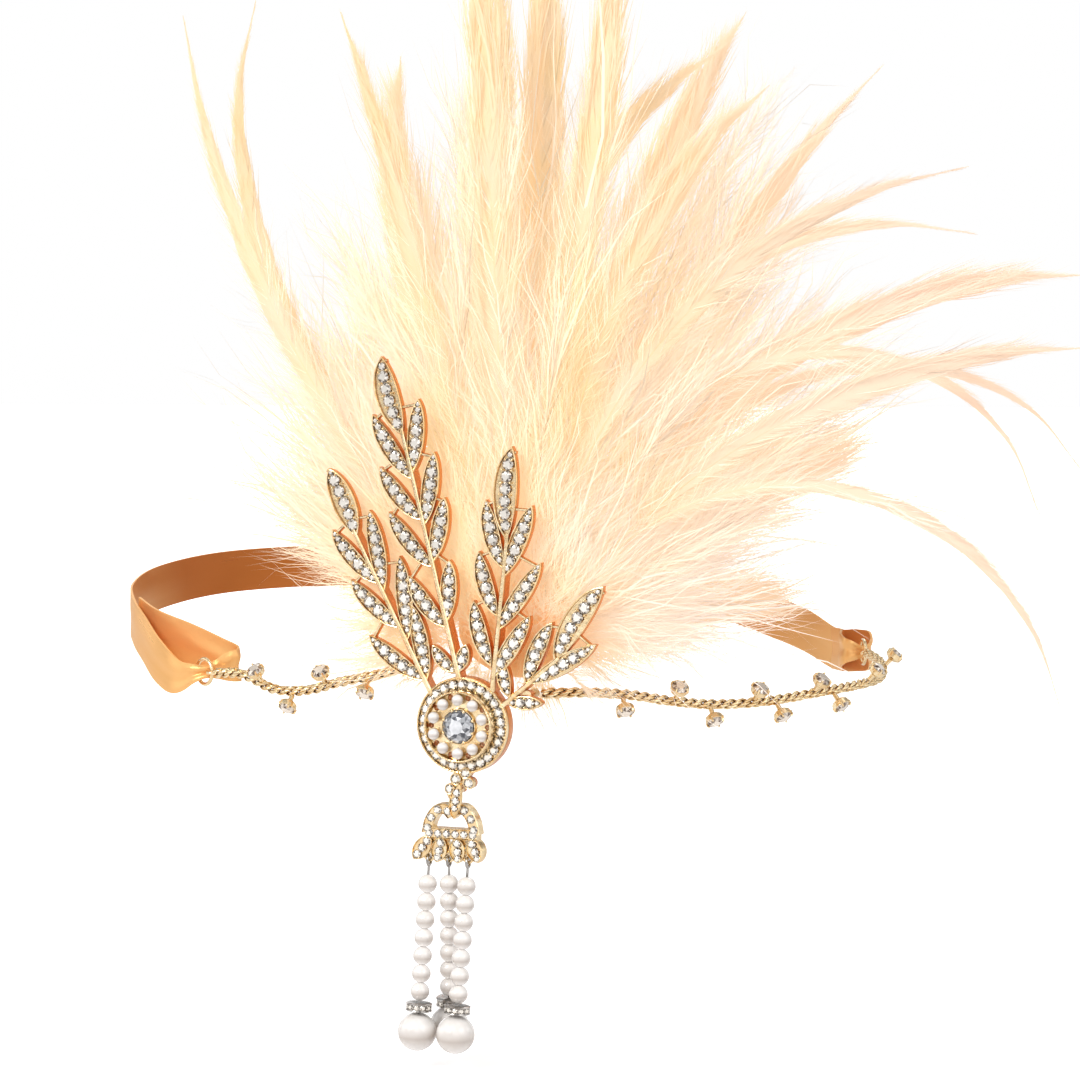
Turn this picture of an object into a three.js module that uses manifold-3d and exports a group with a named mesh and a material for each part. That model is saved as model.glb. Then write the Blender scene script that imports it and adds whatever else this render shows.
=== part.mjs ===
// Feather headband: a stone-set casting of leaf sprays and a medallion, with a pearl tassel below and a
// fan of feathers behind, worn on a loop of rope chain and satin ribbon.
// Millimetres, +Z up, the front is -Y. The origin is the middle of the loop.
import * as THREE from "three";
import { mergeVertices } from "three/addons/utils/BufferGeometryUtils.js";
import Module from "manifold-3d";

const wasm = await Module();
wasm.setup();

const radians = THREE.MathUtils.degToRad;

// The loop seen from above: its reach from the middle line by the angle from the front, the right-hand side
// positive. It is a circle, drawn in a little where the right-hand ribbon begins.
const loopRadius = 90;
const loopShift = -3;
const loopOutline = [
  { angle: -75, reach: loopRadius },
  { angle: 25, reach: loopRadius },
  { angle: 45, reach: 91.5 },
  { angle: 65, reach: 92 },
  { angle: 75, reach: 88.6 },
  { angle: 85, reach: 83.6 },
  { angle: 95, reach: 80 },
  { angle: 112, reach: 80 },
  { angle: 140, reach: 84 },
  { angle: 175, reach: 89 },
  { angle: 215, reach: loopRadius },
  { angle: 300, reach: loopRadius },
];
const leftRingAngle = -41;
const rightRingAngle = 93;

// Where the casting stands on the loop, and how far it is turned to the left
const jewelFront = 97;
const jewelDrop = 7;
const jewelTurn = -12;
const castingBack = 1.2;

// The casting: plate depth, the back of the leaves, which are thinner than their stems, the pocket that
// holds the stones of a leaf, and the stems
const leafDepth = 3.6;
const leafBack = -0.4;
const leafRim = 0.45;
const pocketDepth = 0.7;
const leafWidth = 3.8;
const topLeafWidth = 5.2;
const stemWidth = 1;
const stemProud = 0.2;
const leafArcSteps = 4;
const leftBow = 0.26;
const rightBow = -0.05;
const lugRadius = 1;
const lugLength = 3;
const lugSunk = 2.4;

// The medallion
const medallionRadius = 10;
const medallionSides = 26;
const channelRadius = 8.4;
const channelWall = 9.45;
const channelFloor = -2;
const haloStones = 26;
const haloStoneRadius = 0.98;
const haloStoneHeight = 0.85;
const dishFloor = -3.9;
const pearlCount = 10;
const pearlRing = 5.4;
const pearlRadius = 1.3;
const holeRing = 6.1;
const holeRadius = 0.6;
const centreStoneRadius = 3;
const centreFloor = -3.4;
const gap = 0.3;

// The tassel, measured down from the eyelet that it swings on
const crestBottom = -13.6;
const crestBack = 0;
const crestFront = -3.2;
const pivotAcross = -2.3;
const pivotUp = -14.4;
const tasselDepth = -1.6;
const eyeletRadius = 0.95;
const eyeletWire = 0.35;
const linkRadius = 1.6;
const linkWire = 0.3;
const capDepth = 2.8;
const capBarUp = -8.4;
const capBarHeight = 2.2;
const capBarWidth = 11.4;
const strandRingRadius = 1;
const strandWire = 0.28;
const strandStem = 1.9;
const strandPearlRadius = 2;
const strandPearlPitch = 3.75;
const strandPearls = 7;
const beadSteps = 4;
const rondelleRadius = 2.75;
const rondelleHeight = 1.8;
const endPearlRadius = 4;

// Chain, studs, rings and ribbon
const ropeMean = 1.05;
const ropeLobe = 0.3;
const ropePitch = 8;
const ropeStep = 2.05;
const ropeSides = 8;
const ringRadius = 2.75;
const ringWire = 0.42;
const chainEndGap = 0.7;
const chainEndDepth = 2.3;
const chainEyeRadius = 1.15;
const chainEyeWire = 0.36;
const ribbonThick = 1;
const bandWidth = 10.4;
const bandThick = 1.2;
const bandSteps = 25;
const foldSteps = 3;

// The plume: its felt backing, and the layers of feathers that are rooted in it
const backing = { across: 9, depth: 6.2, up: 20, halfWidth: 13, halfDepth: 4.4, halfHeight: 10.5 };
const quillWidth = 1.6;
const quillThick = 1.4;
const featherThick = 2.2;
const featherSteps = 8;
const sweepBack = 0.16;

// One row for each spray: where its stem leaves the medallion and where it ends
const sprays = {
  left: { rootAcross: -5.8, rootUp: 5.3, topAcross: -23.5, topUp: 38.4 },
  tall: { rootAcross: -0.6, rootUp: 8.3, topAcross: -13.1, topUp: 59.3 },
  middle: { rootAcross: 5.5, rootUp: 5.8, topAcross: 9.6, topUp: 38.4 },
  right: { rootAcross: 7.5, rootUp: 3.7, topAcross: 20.1, topUp: 14 },
};

// One row for each leaf: how far up its stem it starts, its angle from the stem, positive to the
// right, and its length
const leaves = [
  { spray: "left", at: 37, angle: 4, length: 15.4, width: topLeafWidth },
  { spray: "left", at: 26.1, angle: -16, length: 15.4 },
  { spray: "left", at: 16, angle: -21, length: 15 },
  { spray: "left", at: 3.9, angle: -27, length: 15.9 },
  { spray: "left", at: 24.2, angle: 17, length: 17.3 },
  { spray: "left", at: 13.1, angle: 22, length: 17.6 },
  { spray: "left", at: 4, angle: 16, length: 16 },
  { spray: "tall", at: 52, angle: -3, length: 16.8, width: topLeafWidth },
  { spray: "tall", at: 42.7, angle: -20, length: 16.1 },
  { spray: "tall", at: 34.2, angle: -27, length: 14.5 },
  { spray: "tall", at: 24.4, angle: -27, length: 15 },
  { spray: "tall", at: 11.8, angle: -25, length: 13.8 },
  { spray: "tall", at: 44, angle: 19, length: 15.4 },
  { spray: "tall", at: 33, angle: 22, length: 15.5 },
  { spray: "tall", at: 25.4, angle: 25, length: 13.8 },
  { spray: "tall", at: 12.8, angle: 17, length: 13.1 },
  { spray: "tall", at: 2.4, angle: -30, length: 7.9, width: 3 },
  { spray: "tall", at: 2.4, angle: 32, length: 6.4, width: 3 },
  { spray: "middle", at: 32.5, angle: -4, length: 19, width: topLeafWidth },
  { spray: "middle", at: 26.5, angle: -22, length: 14.6 },
  { spray: "middle", at: 16.7, angle: -24, length: 14 },
  { spray: "middle", at: 6.4, angle: -23, length: 14.1 },
  { spray: "middle", at: 24.7, angle: 16, length: 16.2 },
  { spray: "middle", at: 13.8, angle: 27, length: 17.2 },
  { spray: "middle", at: 4, angle: 26, length: 15.7 },
  { spray: "right", at: 15.8, angle: -17, length: 18.8, width: topLeafWidth },
  { spray: "right", at: 7.9, angle: -27, length: 14.3 },
  { spray: "right", at: 8.4, angle: 9, length: 17 },
  { spray: "right", at: 3.6, angle: -62, length: 8, width: 3 },
  { spray: "right", at: 2.4, angle: 39, length: 8, width: 3 },
];

// The medallion from the back of its axis out to the rim and in over the channel and the dish
const medallionProfile = [
  { radius: 0, depth: castingBack },
  { radius: 9.7, depth: castingBack },
  { radius: medallionRadius, depth: 0.8 },
  { radius: medallionRadius, depth: -2.4 },
  { radius: 9.8, depth: -2.7 },
  { radius: 9.5, depth: -2.7 },
  { radius: channelWall, depth: channelFloor },
  { radius: 7.35, depth: channelFloor },
  { radius: 7.3, depth: -5.2 },
  { radius: 6.95, depth: -5.4 },
  { radius: 6.7, depth: dishFloor },
  { radius: 3.75, depth: dishFloor },
  { radius: 3.65, depth: -4.7 },
  { radius: 3.35, depth: -4.7 },
  { radius: 3.3, depth: centreFloor },
  { radius: 0, depth: centreFloor },
];

// The lobes of the crest below the medallion
const crestLobes = [
  { fromAcross: -0.2, fromUp: -8.6, toAcross: -4.4, toUp: -12.2, width: 3 },
  { fromAcross: 0.2, fromUp: -8.6, toAcross: 2.2, toUp: -12.2, width: 3 },
  { fromAcross: -0.2, fromUp: -8.2, toAcross: pivotAcross, toUp: crestBottom, width: 3.4 },
];

// The leaves of the tassel cap: two arms above its bar and four petals below it
const capLeaves = [
  { fromAcross: 0.4, fromUp: -3.6, toAcross: -5.4, toUp: -8.2, width: 2.6 },
  { fromAcross: -0.4, fromUp: -3.6, toAcross: 5.2, toUp: -8.2, width: 2.6 },
  { fromAcross: -4.4, fromUp: -8.6, toAcross: -8.4, toUp: -13.8, width: 3.6 },
  { fromAcross: -2, fromUp: -8.6, toAcross: -3.3, toUp: -14.2, width: 3.6 },
  { fromAcross: 1.2, fromUp: -8.6, toAcross: 1.4, toUp: -14.2, width: 3.6 },
  { fromAcross: 4, fromUp: -8.6, toAcross: 6, toUp: -13.8, width: 3.6 },
];
const capEyeletUp = -13;

// One row for each string: its eyelet on the cap, and where its end pearl hangs beside that eyelet
const strands = [
  { eyelet: -5.2, endAcross: -1.8, endDepth: -2.6 },
  { eyelet: -0.9, endAcross: -1.9, endDepth: 5 },
  { eyelet: 3.4, endAcross: -2, endDepth: -2.4 },
];

// The rope chains from the casting to their rings: angle on the loop, distance outside it and height
const leftChainPath = [
  { angle: -10, out: 2, up: 2.4 },
  { angle: -16, out: 1, up: 0.2 },
  { angle: -22, out: 0, up: -2.2 },
  { angle: -27, out: 0, up: -2.4 },
  { angle: -33, out: 0, up: 0.2 },
];
const rightChainPath = [
  { angle: 16, out: 7.4, up: -0.4 },
  { angle: 22, out: 4.4, up: -1.4 },
  { angle: 28, out: 2, up: -3.2 },
  { angle: 35, out: 0, up: -4.6 },
  { angle: 43, out: 0, up: -4.6 },
  { angle: 52, out: 0, up: -3.7 },
  { angle: 61, out: 0, up: -3.2 },
  { angle: 70, out: 0, up: -2.9 },
  { angle: 79, out: 0, up: -1.4 },
  { angle: 86, out: 0, up: -0.9 },
];
const leftRingUp = -0.2;
const rightRingUp = -0.8;

// The studs: angle on the loop, side of the chain (up is 1) and how far the cup tips up or down
const studTip = 48;
const studs = {
  left: [
    { angle: -11.7, side: -1 },
    { angle: -18.4, side: 1 },
    { angle: -23.8, side: -1 },
    { angle: -29.1, side: 1 },
  ],
  right: [
    { angle: 21.1, side: -1 },
    { angle: 28.7, side: 1 },
    { angle: 34.2, side: -1 },
    { angle: 40.8, side: 1 },
    { angle: 44.6, side: -1 },
    { angle: 51.2, side: 1 },
    { angle: 55, side: -1 },
    { angle: 63.5, side: 1 },
    { angle: 76, side: 1 },
  ],
};

// A stud from its stem up over the cup to the table of the stone
const studProfile = [
  { radius: 0, height: 0 },
  { radius: 0.55, height: 0 },
  { radius: 0.6, height: 1.1 },
  { radius: 1.85, height: 1.6 },
  { radius: 2, height: 3 },
  { radius: 1.1, height: 3.8 },
  { radius: 0, height: 3.8 },
];

// The ribbon where it folds through a ring: distance behind the ring along the loop, distance outside
// the loop, height beside the ring, and the width and thickness to which it is gathered
const leftFold = [
  { behind: 40, out: 0.5, up: 7.6, width: 10, thick: ribbonThick },
  { behind: 27, out: 1.3, up: 5, width: 10, thick: ribbonThick },
  { behind: 15, out: 2.6, up: 1, width: 9.6, thick: ribbonThick },
  { behind: 6.5, out: 3, up: -1.3, width: 7.6, thick: ribbonThick },
  { behind: 1.6, out: 1.6, up: -0.4, width: 3.8, thick: ribbonThick },
  { behind: -0.1, out: -0.2, up: 0, width: 2.6, thick: 1.2 },
  { behind: -1.4, out: -2.4, up: 0.4, width: 4, thick: 1.2 },
  { behind: -3.8, out: -3.4, up: 1, width: 6, thick: ribbonThick },
  { behind: -5.6, out: -4.8, up: 1.4, width: 7, thick: ribbonThick },
  { behind: -4, out: -6.2, up: 1.6, width: 7.4, thick: ribbonThick },
  { behind: 2, out: -5.8, up: 2.6, width: 8.4, thick: ribbonThick },
  { behind: 13, out: -4.4, up: 4.4, width: 9.6, thick: ribbonThick },
  { behind: 27, out: -1.8, up: 6.4, width: 10, thick: ribbonThick },
  { behind: 40, out: -0.5, up: 8.4, width: 10, thick: ribbonThick },
];
const rightFold = [
  { behind: 36, out: 0.5, up: -2.4, width: 10, thick: ribbonThick },
  { behind: 20, out: 1.6, up: -1.4, width: 10, thick: ribbonThick },
  { behind: 9, out: 2.8, up: -0.5, width: 8.6, thick: ribbonThick },
  { behind: 2.2, out: 1.8, up: 0.1, width: 4.2, thick: ribbonThick },
  { behind: -0.1, out: -0.2, up: 0, width: 2.6, thick: 1.2 },
  { behind: -1.2, out: -2.6, up: 0.2, width: 4.2, thick: 1.2 },
  { behind: -1.4, out: -4, up: 0.4, width: 5.4, thick: ribbonThick },
  { behind: 3, out: -4.6, up: 0.2, width: 7.4, thick: ribbonThick },
  { behind: 12, out: -3.4, up: -0.6, width: 9.4, thick: ribbonThick },
  { behind: 22, out: -1.6, up: -1.4, width: 10, thick: ribbonThick },
  { behind: 36, out: -0.5, up: -2.2, width: 10, thick: ribbonThick },
];

// The ribbon round the back of the head: angle on the loop and height
const bandPath = [
  { angle: 112, up: -3.5 },
  { angle: 130, up: 0.2 },
  { angle: 155, up: 6.4 },
  { angle: 180, up: 10.4 },
  { angle: 210, up: 12.8 },
  { angle: 240, up: 13.2 },
  { angle: 262, up: 11.6 },
  { angle: 280, up: 9.4 },
  { angle: 297, up: 7.4 },
];

// The feathers in three layers, front to back: lean from upright where a feather leaves the backing and
// at its tip, how late it bends over (1 is evenly), its length and greatest width, and where along the
// backing it is rooted
const featherLayers = [
  {
    depth: 4.2, tilt: 1, feathers: [
      { lean: -45, tipLean: -12, bend: 1.4, length: 146, width: 9, root: -5 },
      { lean: -14, tipLean: -20, bend: 2.5, length: 130, width: 13, root: -3 },
      { lean: -3, tipLean: -4, bend: 2, length: 142, width: 17, root: -1 },
      { lean: 9, tipLean: 5, bend: 2, length: 146, width: 17, root: 1 },
      { lean: 11, tipLean: 48, bend: 2.5, length: 121, width: 14, root: 3 },
      { lean: 4, tipLean: 77, bend: 1.1, length: 135, width: 9, root: 5 },
      { lean: 31, tipLean: 86, bend: 1, length: 126, width: 11, root: 7 },
      { lean: 18, tipLean: 160, bend: 1, length: 134, width: 7, root: 9 },
    ],
  },
  {
    depth: 6.2, tilt: 9, feathers: [
      { lean: -44, tipLean: 8, bend: 2.5, length: 155, width: 9, root: -5 },
      { lean: -22, tipLean: 0, bend: 3, length: 124, width: 16, root: -2 },
      { lean: 0, tipLean: -2, bend: 2, length: 148, width: 18, root: 0 },
      { lean: -22, tipLean: 53, bend: 1.2, length: 135, width: 13, root: 2 },
      { lean: -2, tipLean: 97, bend: 1.3, length: 136, width: 8, root: 4 },
      { lean: 16, tipLean: 87, bend: 1, length: 138, width: 13, root: 6 },
      { lean: 5, tipLean: 157, bend: 1.4, length: 143, width: 6, root: 8 },
    ],
  },
  {
    depth: 8.2, tilt: 17, feathers: [
      { lean: 48, tipLean: 72, bend: 2, length: 62, width: 22, root: 4 },
      { lean: -12, tipLean: -5, bend: 1, length: 150, width: 17, root: -1 },
      { lean: 3, tipLean: 26, bend: 1.2, length: 138, width: 17, root: 1 },
      { lean: 20, tipLean: 40, bend: 2.3, length: 139, width: 11, root: 3 },
      { lean: 25, tipLean: 142, bend: 1.8, length: 142, width: 6, root: 5 },
      { lean: 76, tipLean: 92, bend: 2, length: 36, width: 18, root: 7 },
    ],
  },
];

const gold = { color: 0xd9b27c, roughness: 0.28, metalness: 1 };
const crystal = { color: 0xe9eef2, roughness: 0.05, metalness: 0 };
const pearl = { color: 0xf3e9df, roughness: 0.3, metalness: 0 };
const satin = { color: 0xe9a56a, roughness: 0.45, metalness: 0 };
const feather = { color: 0xf7dcc0, roughness: 0.9, metalness: 0 };

// A closed geometry as a solid that can be joined and cut
function solidOf(geometry) {
  const bare = new THREE.BufferGeometry();
  bare.setAttribute("position", geometry.getAttribute("position").clone());
  bare.setIndex(geometry.index ? geometry.index.clone() : null);
  const merged = mergeVertices(bare, 1e-4);
  const corners = merged.index.array;
  const kept = [];
  for (let i = 0; i < corners.length; i += 3) {
    const [a, b, c] = [corners[i], corners[i + 1], corners[i + 2]];
    if (a !== b && b !== c && c !== a) kept.push(a, b, c);
  }
  const points = new Float32Array(merged.getAttribute("position").array);
  const build = (triangles) => {
    const mesh = { numProp: 3, vertProperties: points, triVerts: new Uint32Array(triangles) };
    return new wasm.Manifold(new wasm.Mesh(mesh));
  };
  const solid = build(kept);
  return solid.volume() < 0 ? build(kept.reverse()) : solid;
}

function join(solids) {
  return solids.reduce((whole, solid) => whole.add(solid));
}

function geometryOf(solid) {
  const { vertProperties, triVerts } = solid.getMesh();
  const geometry = new THREE.BufferGeometry();
  geometry.setAttribute("position", new THREE.BufferAttribute(vertProperties, 3));
  geometry.setIndex(new THREE.BufferAttribute(triVerts, 1));
  geometry.computeVertexNormals();
  return geometry;
}

function piece(name, solid, look, parent) {
  const mesh = new THREE.Mesh(geometryOf(solid), new THREE.MeshStandardMaterial(look));
  mesh.name = name;
  parent.add(mesh);
  return mesh;
}

// A closed skin through rings of points, with a flat fan over each end
function loft(rings) {
  const sides = rings[0].length;
  const last = rings.length - 1;
  const at = (ring, side) => ring * sides + (side % sides);
  const triangles = [];
  for (let ring = 0; ring < last; ring++) {
    for (let side = 0; side < sides; side++) {
      const [a, b] = [at(ring, side), at(ring, side + 1)];
      const [c, d] = [at(ring + 1, side), at(ring + 1, side + 1)];
      triangles.push(a, b, d, a, d, c);
    }
  }
  for (let side = 1; side + 1 < sides; side++) {
    triangles.push(at(0, 0), at(0, side + 1), at(0, side));
    triangles.push(at(last, 0), at(last, side), at(last, side + 1));
  }
  const geometry = new THREE.BufferGeometry().setFromPoints(rings.flat());
  geometry.setIndex(triangles);
  return solidOf(geometry);
}

// A flat plate of the casting: its outline in width and height, from a back depth to a front depth
function plate(shape, back, front) {
  const flat = { depth: back - front, bevelEnabled: false, curveSegments: leafArcSteps };
  const geometry = new THREE.ExtrudeGeometry(shape, flat);
  return solidOf(geometry.rotateX(Math.PI / 2).translate(0, back, 0));
}

// A leaf outline, round at its shoulders and pointed at both ends, with its middle line bowed a little
const leafFullness = 2 / 3;
function leafShape(base, tip, width, bow = 0) {
  const along = tip.clone().sub(base);
  const across = new THREE.Vector2(-along.y, along.x).normalize();
  const control = (share, side) =>
    base.clone().addScaledVector(along, share).addScaledVector(across, side + bow);
  const half = width * leafFullness;
  const [low, high] = [control(0.22, half), control(0.82, half)];
  const [backHigh, backLow] = [control(0.82, -half), control(0.22, -half)];
  const shape = new THREE.Shape();
  shape.moveTo(base.x, base.y);
  shape.bezierCurveTo(low.x, low.y, high.x, high.y, tip.x, tip.y);
  shape.bezierCurveTo(backHigh.x, backHigh.y, backLow.x, backLow.y, base.x, base.y);
  return shape;
}

// A ring of round wire about the chosen axis
const ringSides = 10;
const wireSides = 5;
function wireRing(radius, wire, axis, sides = ringSides) {
  const ring = new THREE.TorusGeometry(radius, wire, wireSides, sides);
  if (axis === "y") ring.rotateX(Math.PI / 2);
  if (axis === "x") ring.rotateY(Math.PI / 2);
  return ring;
}

function sphere(radius, sides, rings) {
  return new THREE.SphereGeometry(radius, sides, rings);
}

function turned(profile, sides) {
  const outline = profile.map((row) => new THREE.Vector2(row.radius, row.depth ?? row.height));
  return new THREE.LatheGeometry(outline, sides);
}

// A leaf of the casting with a sunk pocket for its stones
function settingLeaf(row) {
  const spray = sprays[row.spray];
  const root = new THREE.Vector2(spray.rootAcross, spray.rootUp);
  const stem = new THREE.Vector2(spray.topAcross, spray.topUp).sub(root).normalize();
  const base = root.addScaledVector(stem, row.at);
  const along = stem.clone().rotateAround(new THREE.Vector2(), -radians(row.angle));
  const tip = base.clone().addScaledVector(along, row.length);
  const width = row.width ?? leafWidth;
  const bow = (row.angle < 0 ? leftBow : rightBow) * width;
  const front = castingBack - leafDepth;
  const body = plate(leafShape(base, tip, width, bow), leafBack, front);
  const inner = (share) => base.clone().lerp(tip, share);
  const rimShare = (2 * leafRim) / row.length;
  const pocket = leafShape(inner(2 * rimShare), inner(1 - rimShare), width - 2 * leafRim, bow);
  return body.subtract(plate(pocket, front + pocketDepth, front - 1));
}

// A straight stem from the medallion to the top leaf of its spray
function stem(spray) {
  const root = new THREE.Vector2(spray.rootAcross, spray.rootUp);
  const top = new THREE.Vector2(spray.topAcross, spray.topUp);
  const along = top.clone().sub(root).normalize();
  const side = new THREE.Vector2(-along.y, along.x).multiplyScalar(stemWidth / 2);
  const end = top.addScaledVector(along, 1);
  const outline = [
    root.clone().add(side),
    root.clone().sub(side),
    end.clone().sub(side),
    end.clone().add(side),
  ];
  return plate(new THREE.Shape(outline), castingBack, castingBack - leafDepth - stemProud);
}

function medallion() {
  const disc = solidOf(turned(medallionProfile, medallionSides));
  const around = (count, index, radius, offset) => {
    const angle = ((index + offset) / count) * 2 * Math.PI;
    return [radius * Math.sin(angle), radius * Math.cos(angle)];
  };
  const stones = [];
  for (let i = 0; i < haloStones; i++) {
    const [across, up] = around(haloStones, i, channelRadius, 0);
    const stone = new THREE.CylinderGeometry(haloStoneRadius, 0.5, haloStoneHeight + 0.2, 8);
    stones.push(solidOf(stone.translate(across, channelFloor - haloStoneHeight / 2 + 0.1, up)));
  }
  const holes = [];
  for (let i = 0; i < pearlCount; i++) {
    const [across, up] = around(pearlCount, i, holeRing, 0.5);
    const hole = new THREE.CylinderGeometry(holeRadius, holeRadius, 16, 8);
    holes.push(solidOf(hole.translate(across, 0, up)));
  }
  return join([disc, ...stones]).subtract(join(holes));
}

function smallLeaf(row, back, front) {
  const base = new THREE.Vector2(row.fromAcross, row.fromUp);
  const tip = new THREE.Vector2(row.toAcross, row.toUp);
  return plate(leafShape(base, tip, row.width), back, front);
}

// The lugs on the back of the casting that the chains are fixed to
const leftLug = { across: -13, up: 11.5 };
const rightLug = { across: 13.6, up: 6.6 };
function lug(row) {
  const post = new THREE.CylinderGeometry(lugRadius, lugRadius, lugLength + lugSunk, 8);
  return solidOf(post.translate(row.across, castingBack + (lugLength - lugSunk) / 2, row.up));
}

const headband = new THREE.Group();
headband.name = "feather_headband";

const jewel = new THREE.Group();
jewel.position.set(0, -jewelFront, -jewelDrop);
jewel.rotation.z = radians(jewelTurn);
headband.add(jewel);
headband.updateMatrixWorld(true);

const pivotEyelet = wireRing(eyeletRadius, eyeletWire, "y");
pivotEyelet.translate(pivotAcross, tasselDepth, pivotUp);
const channelClear = new THREE.CylinderGeometry(channelWall, channelWall, leafDepth, medallionSides);
channelClear.translate(0, channelFloor - leafDepth / 2, 0);
const sprayWork = join([...Object.values(sprays).map(stem), ...leaves.map(settingLeaf)]);
const casting = join([
  medallion(),
  sprayWork.subtract(solidOf(channelClear)),
  ...crestLobes.map((row) => smallLeaf(row, crestBack, crestFront)),
  solidOf(pivotEyelet),
  lug(leftLug),
  lug(rightLug),
]);
piece("leaf_medallion", casting, gold, jewel);

const centreStoneProfile = [
  { radius: 0, depth: centreFloor - gap },
  { radius: 1.6, depth: centreFloor - gap },
  { radius: centreStoneRadius, depth: -4.6 },
  { radius: centreStoneRadius, depth: -5 },
  { radius: 1.7, depth: -6 },
  { radius: 0, depth: -6 },
];
piece("centre_stone", solidOf(turned(centreStoneProfile, 10)), crystal, jewel);

for (let i = 0; i < pearlCount; i++) {
  const angle = (i / pearlCount) * 2 * Math.PI;
  const setPearl = piece(`medallion_pearl_${i + 1}`, solidOf(sphere(pearlRadius, 10, 5)), pearl, jewel);
  const depth = dishFloor - gap - pearlRadius;
  setPearl.position.set(pearlRing * Math.sin(angle), depth, pearlRing * Math.cos(angle));
}

// The tassel hangs from the eyelet of the casting on a link
const tassel = new THREE.Group();
tassel.position.set(pivotAcross, tasselDepth, pivotUp);
jewel.add(tassel);

const link = solidOf(wireRing(linkRadius, linkWire, "x"));
piece("tassel_link", link, gold, tassel).position.z = -linkRadius;

const barShape = new THREE.Shape();
barShape.moveTo(-capBarWidth / 2, capBarUp - capBarHeight / 2);
barShape.lineTo(capBarWidth / 2, capBarUp - capBarHeight / 2);
barShape.lineTo(capBarWidth / 2, capBarUp + capBarHeight / 2);
barShape.lineTo(-capBarWidth / 2, capBarUp + capBarHeight / 2);
const capEyelet = (across, up) =>
  solidOf(wireRing(eyeletRadius, eyeletWire, "y").translate(across, 0, up));
const cap = join([
  capEyelet(0, -2 * linkRadius),
  ...capLeaves.map((row) => smallLeaf(row, capDepth / 2, -capDepth / 2)),
  plate(barShape, capDepth / 2 + 0.2, -capDepth / 2 - 0.2),
  ...strands.map((row) => capEyelet(row.eyelet, capEyeletUp)),
]);
piece("tassel_cap", cap, gold, tassel);

// A string of pearls: a wire ring in the eyelet, then the pearls, the flat bead and the end pearl in line
function hangStrand(row, number) {
  const string = new THREE.Group();
  string.position.set(row.eyelet, 0, capEyeletUp);
  const firstPearl = -2 * strandRingRadius - strandStem - strandPearlRadius;
  const lastPearl = firstPearl - (strandPearls - 1) * strandPearlPitch;
  const rondelleUp = lastPearl - strandPearlRadius - gap - rondelleHeight / 2;
  const endUp = rondelleUp - rondelleHeight / 2 - gap - endPearlRadius;
  const hang = new THREE.Vector3(row.endAcross, row.endDepth, endUp).normalize();
  string.quaternion.setFromUnitVectors(new THREE.Vector3(0, 0, -1), hang);
  tassel.add(string);
  const outline = [
    { radius: 0, height: -2 * strandRingRadius },
    { radius: strandWire, height: -2 * strandRingRadius },
  ];
  for (let i = 0; i < strandPearls; i++) {
    for (let step = 0; step < beadSteps; step++) {
      const around = ((step + 0.5) / beadSteps) * Math.PI;
      const height = firstPearl - i * strandPearlPitch + strandPearlRadius * Math.cos(around);
      outline.push({ radius: strandPearlRadius * Math.sin(around), height });
    }
  }
  outline.push({ radius: 0, height: lastPearl - strandPearlRadius });
  const ring = wireRing(strandRingRadius, strandWire, "x").translate(0, 0, -strandRingRadius);
  const beads = turned(outline, 10).rotateX(Math.PI / 2);
  piece(`pearl_strand_${number}`, join([solidOf(ring), solidOf(beads)]), pearl, string);
  const rondelleProfile = [
    { radius: 0, height: -rondelleHeight / 2 },
    { radius: 1.9, height: -rondelleHeight / 2 },
    { radius: rondelleRadius, height: -rondelleHeight / 5 },
    { radius: rondelleRadius, height: rondelleHeight / 5 },
    { radius: 1.9, height: rondelleHeight / 2 },
    { radius: 0, height: rondelleHeight / 2 },
  ];
  const flatBead = solidOf(turned(rondelleProfile, 12).rotateX(Math.PI / 2));
  piece(`crystal_rondelle_${number}`, flatBead, crystal, string).position.z = rondelleUp;
  const endPearl = solidOf(sphere(endPearlRadius, 12, 8));
  piece(`end_pearl_${number}`, endPearl, pearl, string).position.z = endUp;
}
strands.forEach((row, index) => hangStrand(row, index + 1));

// The loop as a smooth line, and a point beside it by angle from the front, distance outside it and height
const loopAngles = loopOutline.map((row) => row.angle);
const loopReaches = loopOutline.map((row) => row.reach);
const loopLine = new THREE.CubicInterpolant(loopAngles, loopReaches, 1, new Float32Array(1));
function loopPoint(angle) {
  const reach = loopLine.evaluate(angle)[0];
  const turn = radians(angle);
  return new THREE.Vector3(loopShift + reach * Math.sin(turn), -reach * Math.cos(turn), 0);
}

function loopNormal(angle) {
  const ahead = loopPoint(angle + 1).sub(loopPoint(angle - 1));
  return new THREE.Vector3(ahead.y, -ahead.x, 0).normalize();
}

function onLoop(angle, out, up) {
  return loopPoint(angle).addScaledVector(loopNormal(angle), out).setZ(up);
}

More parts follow.
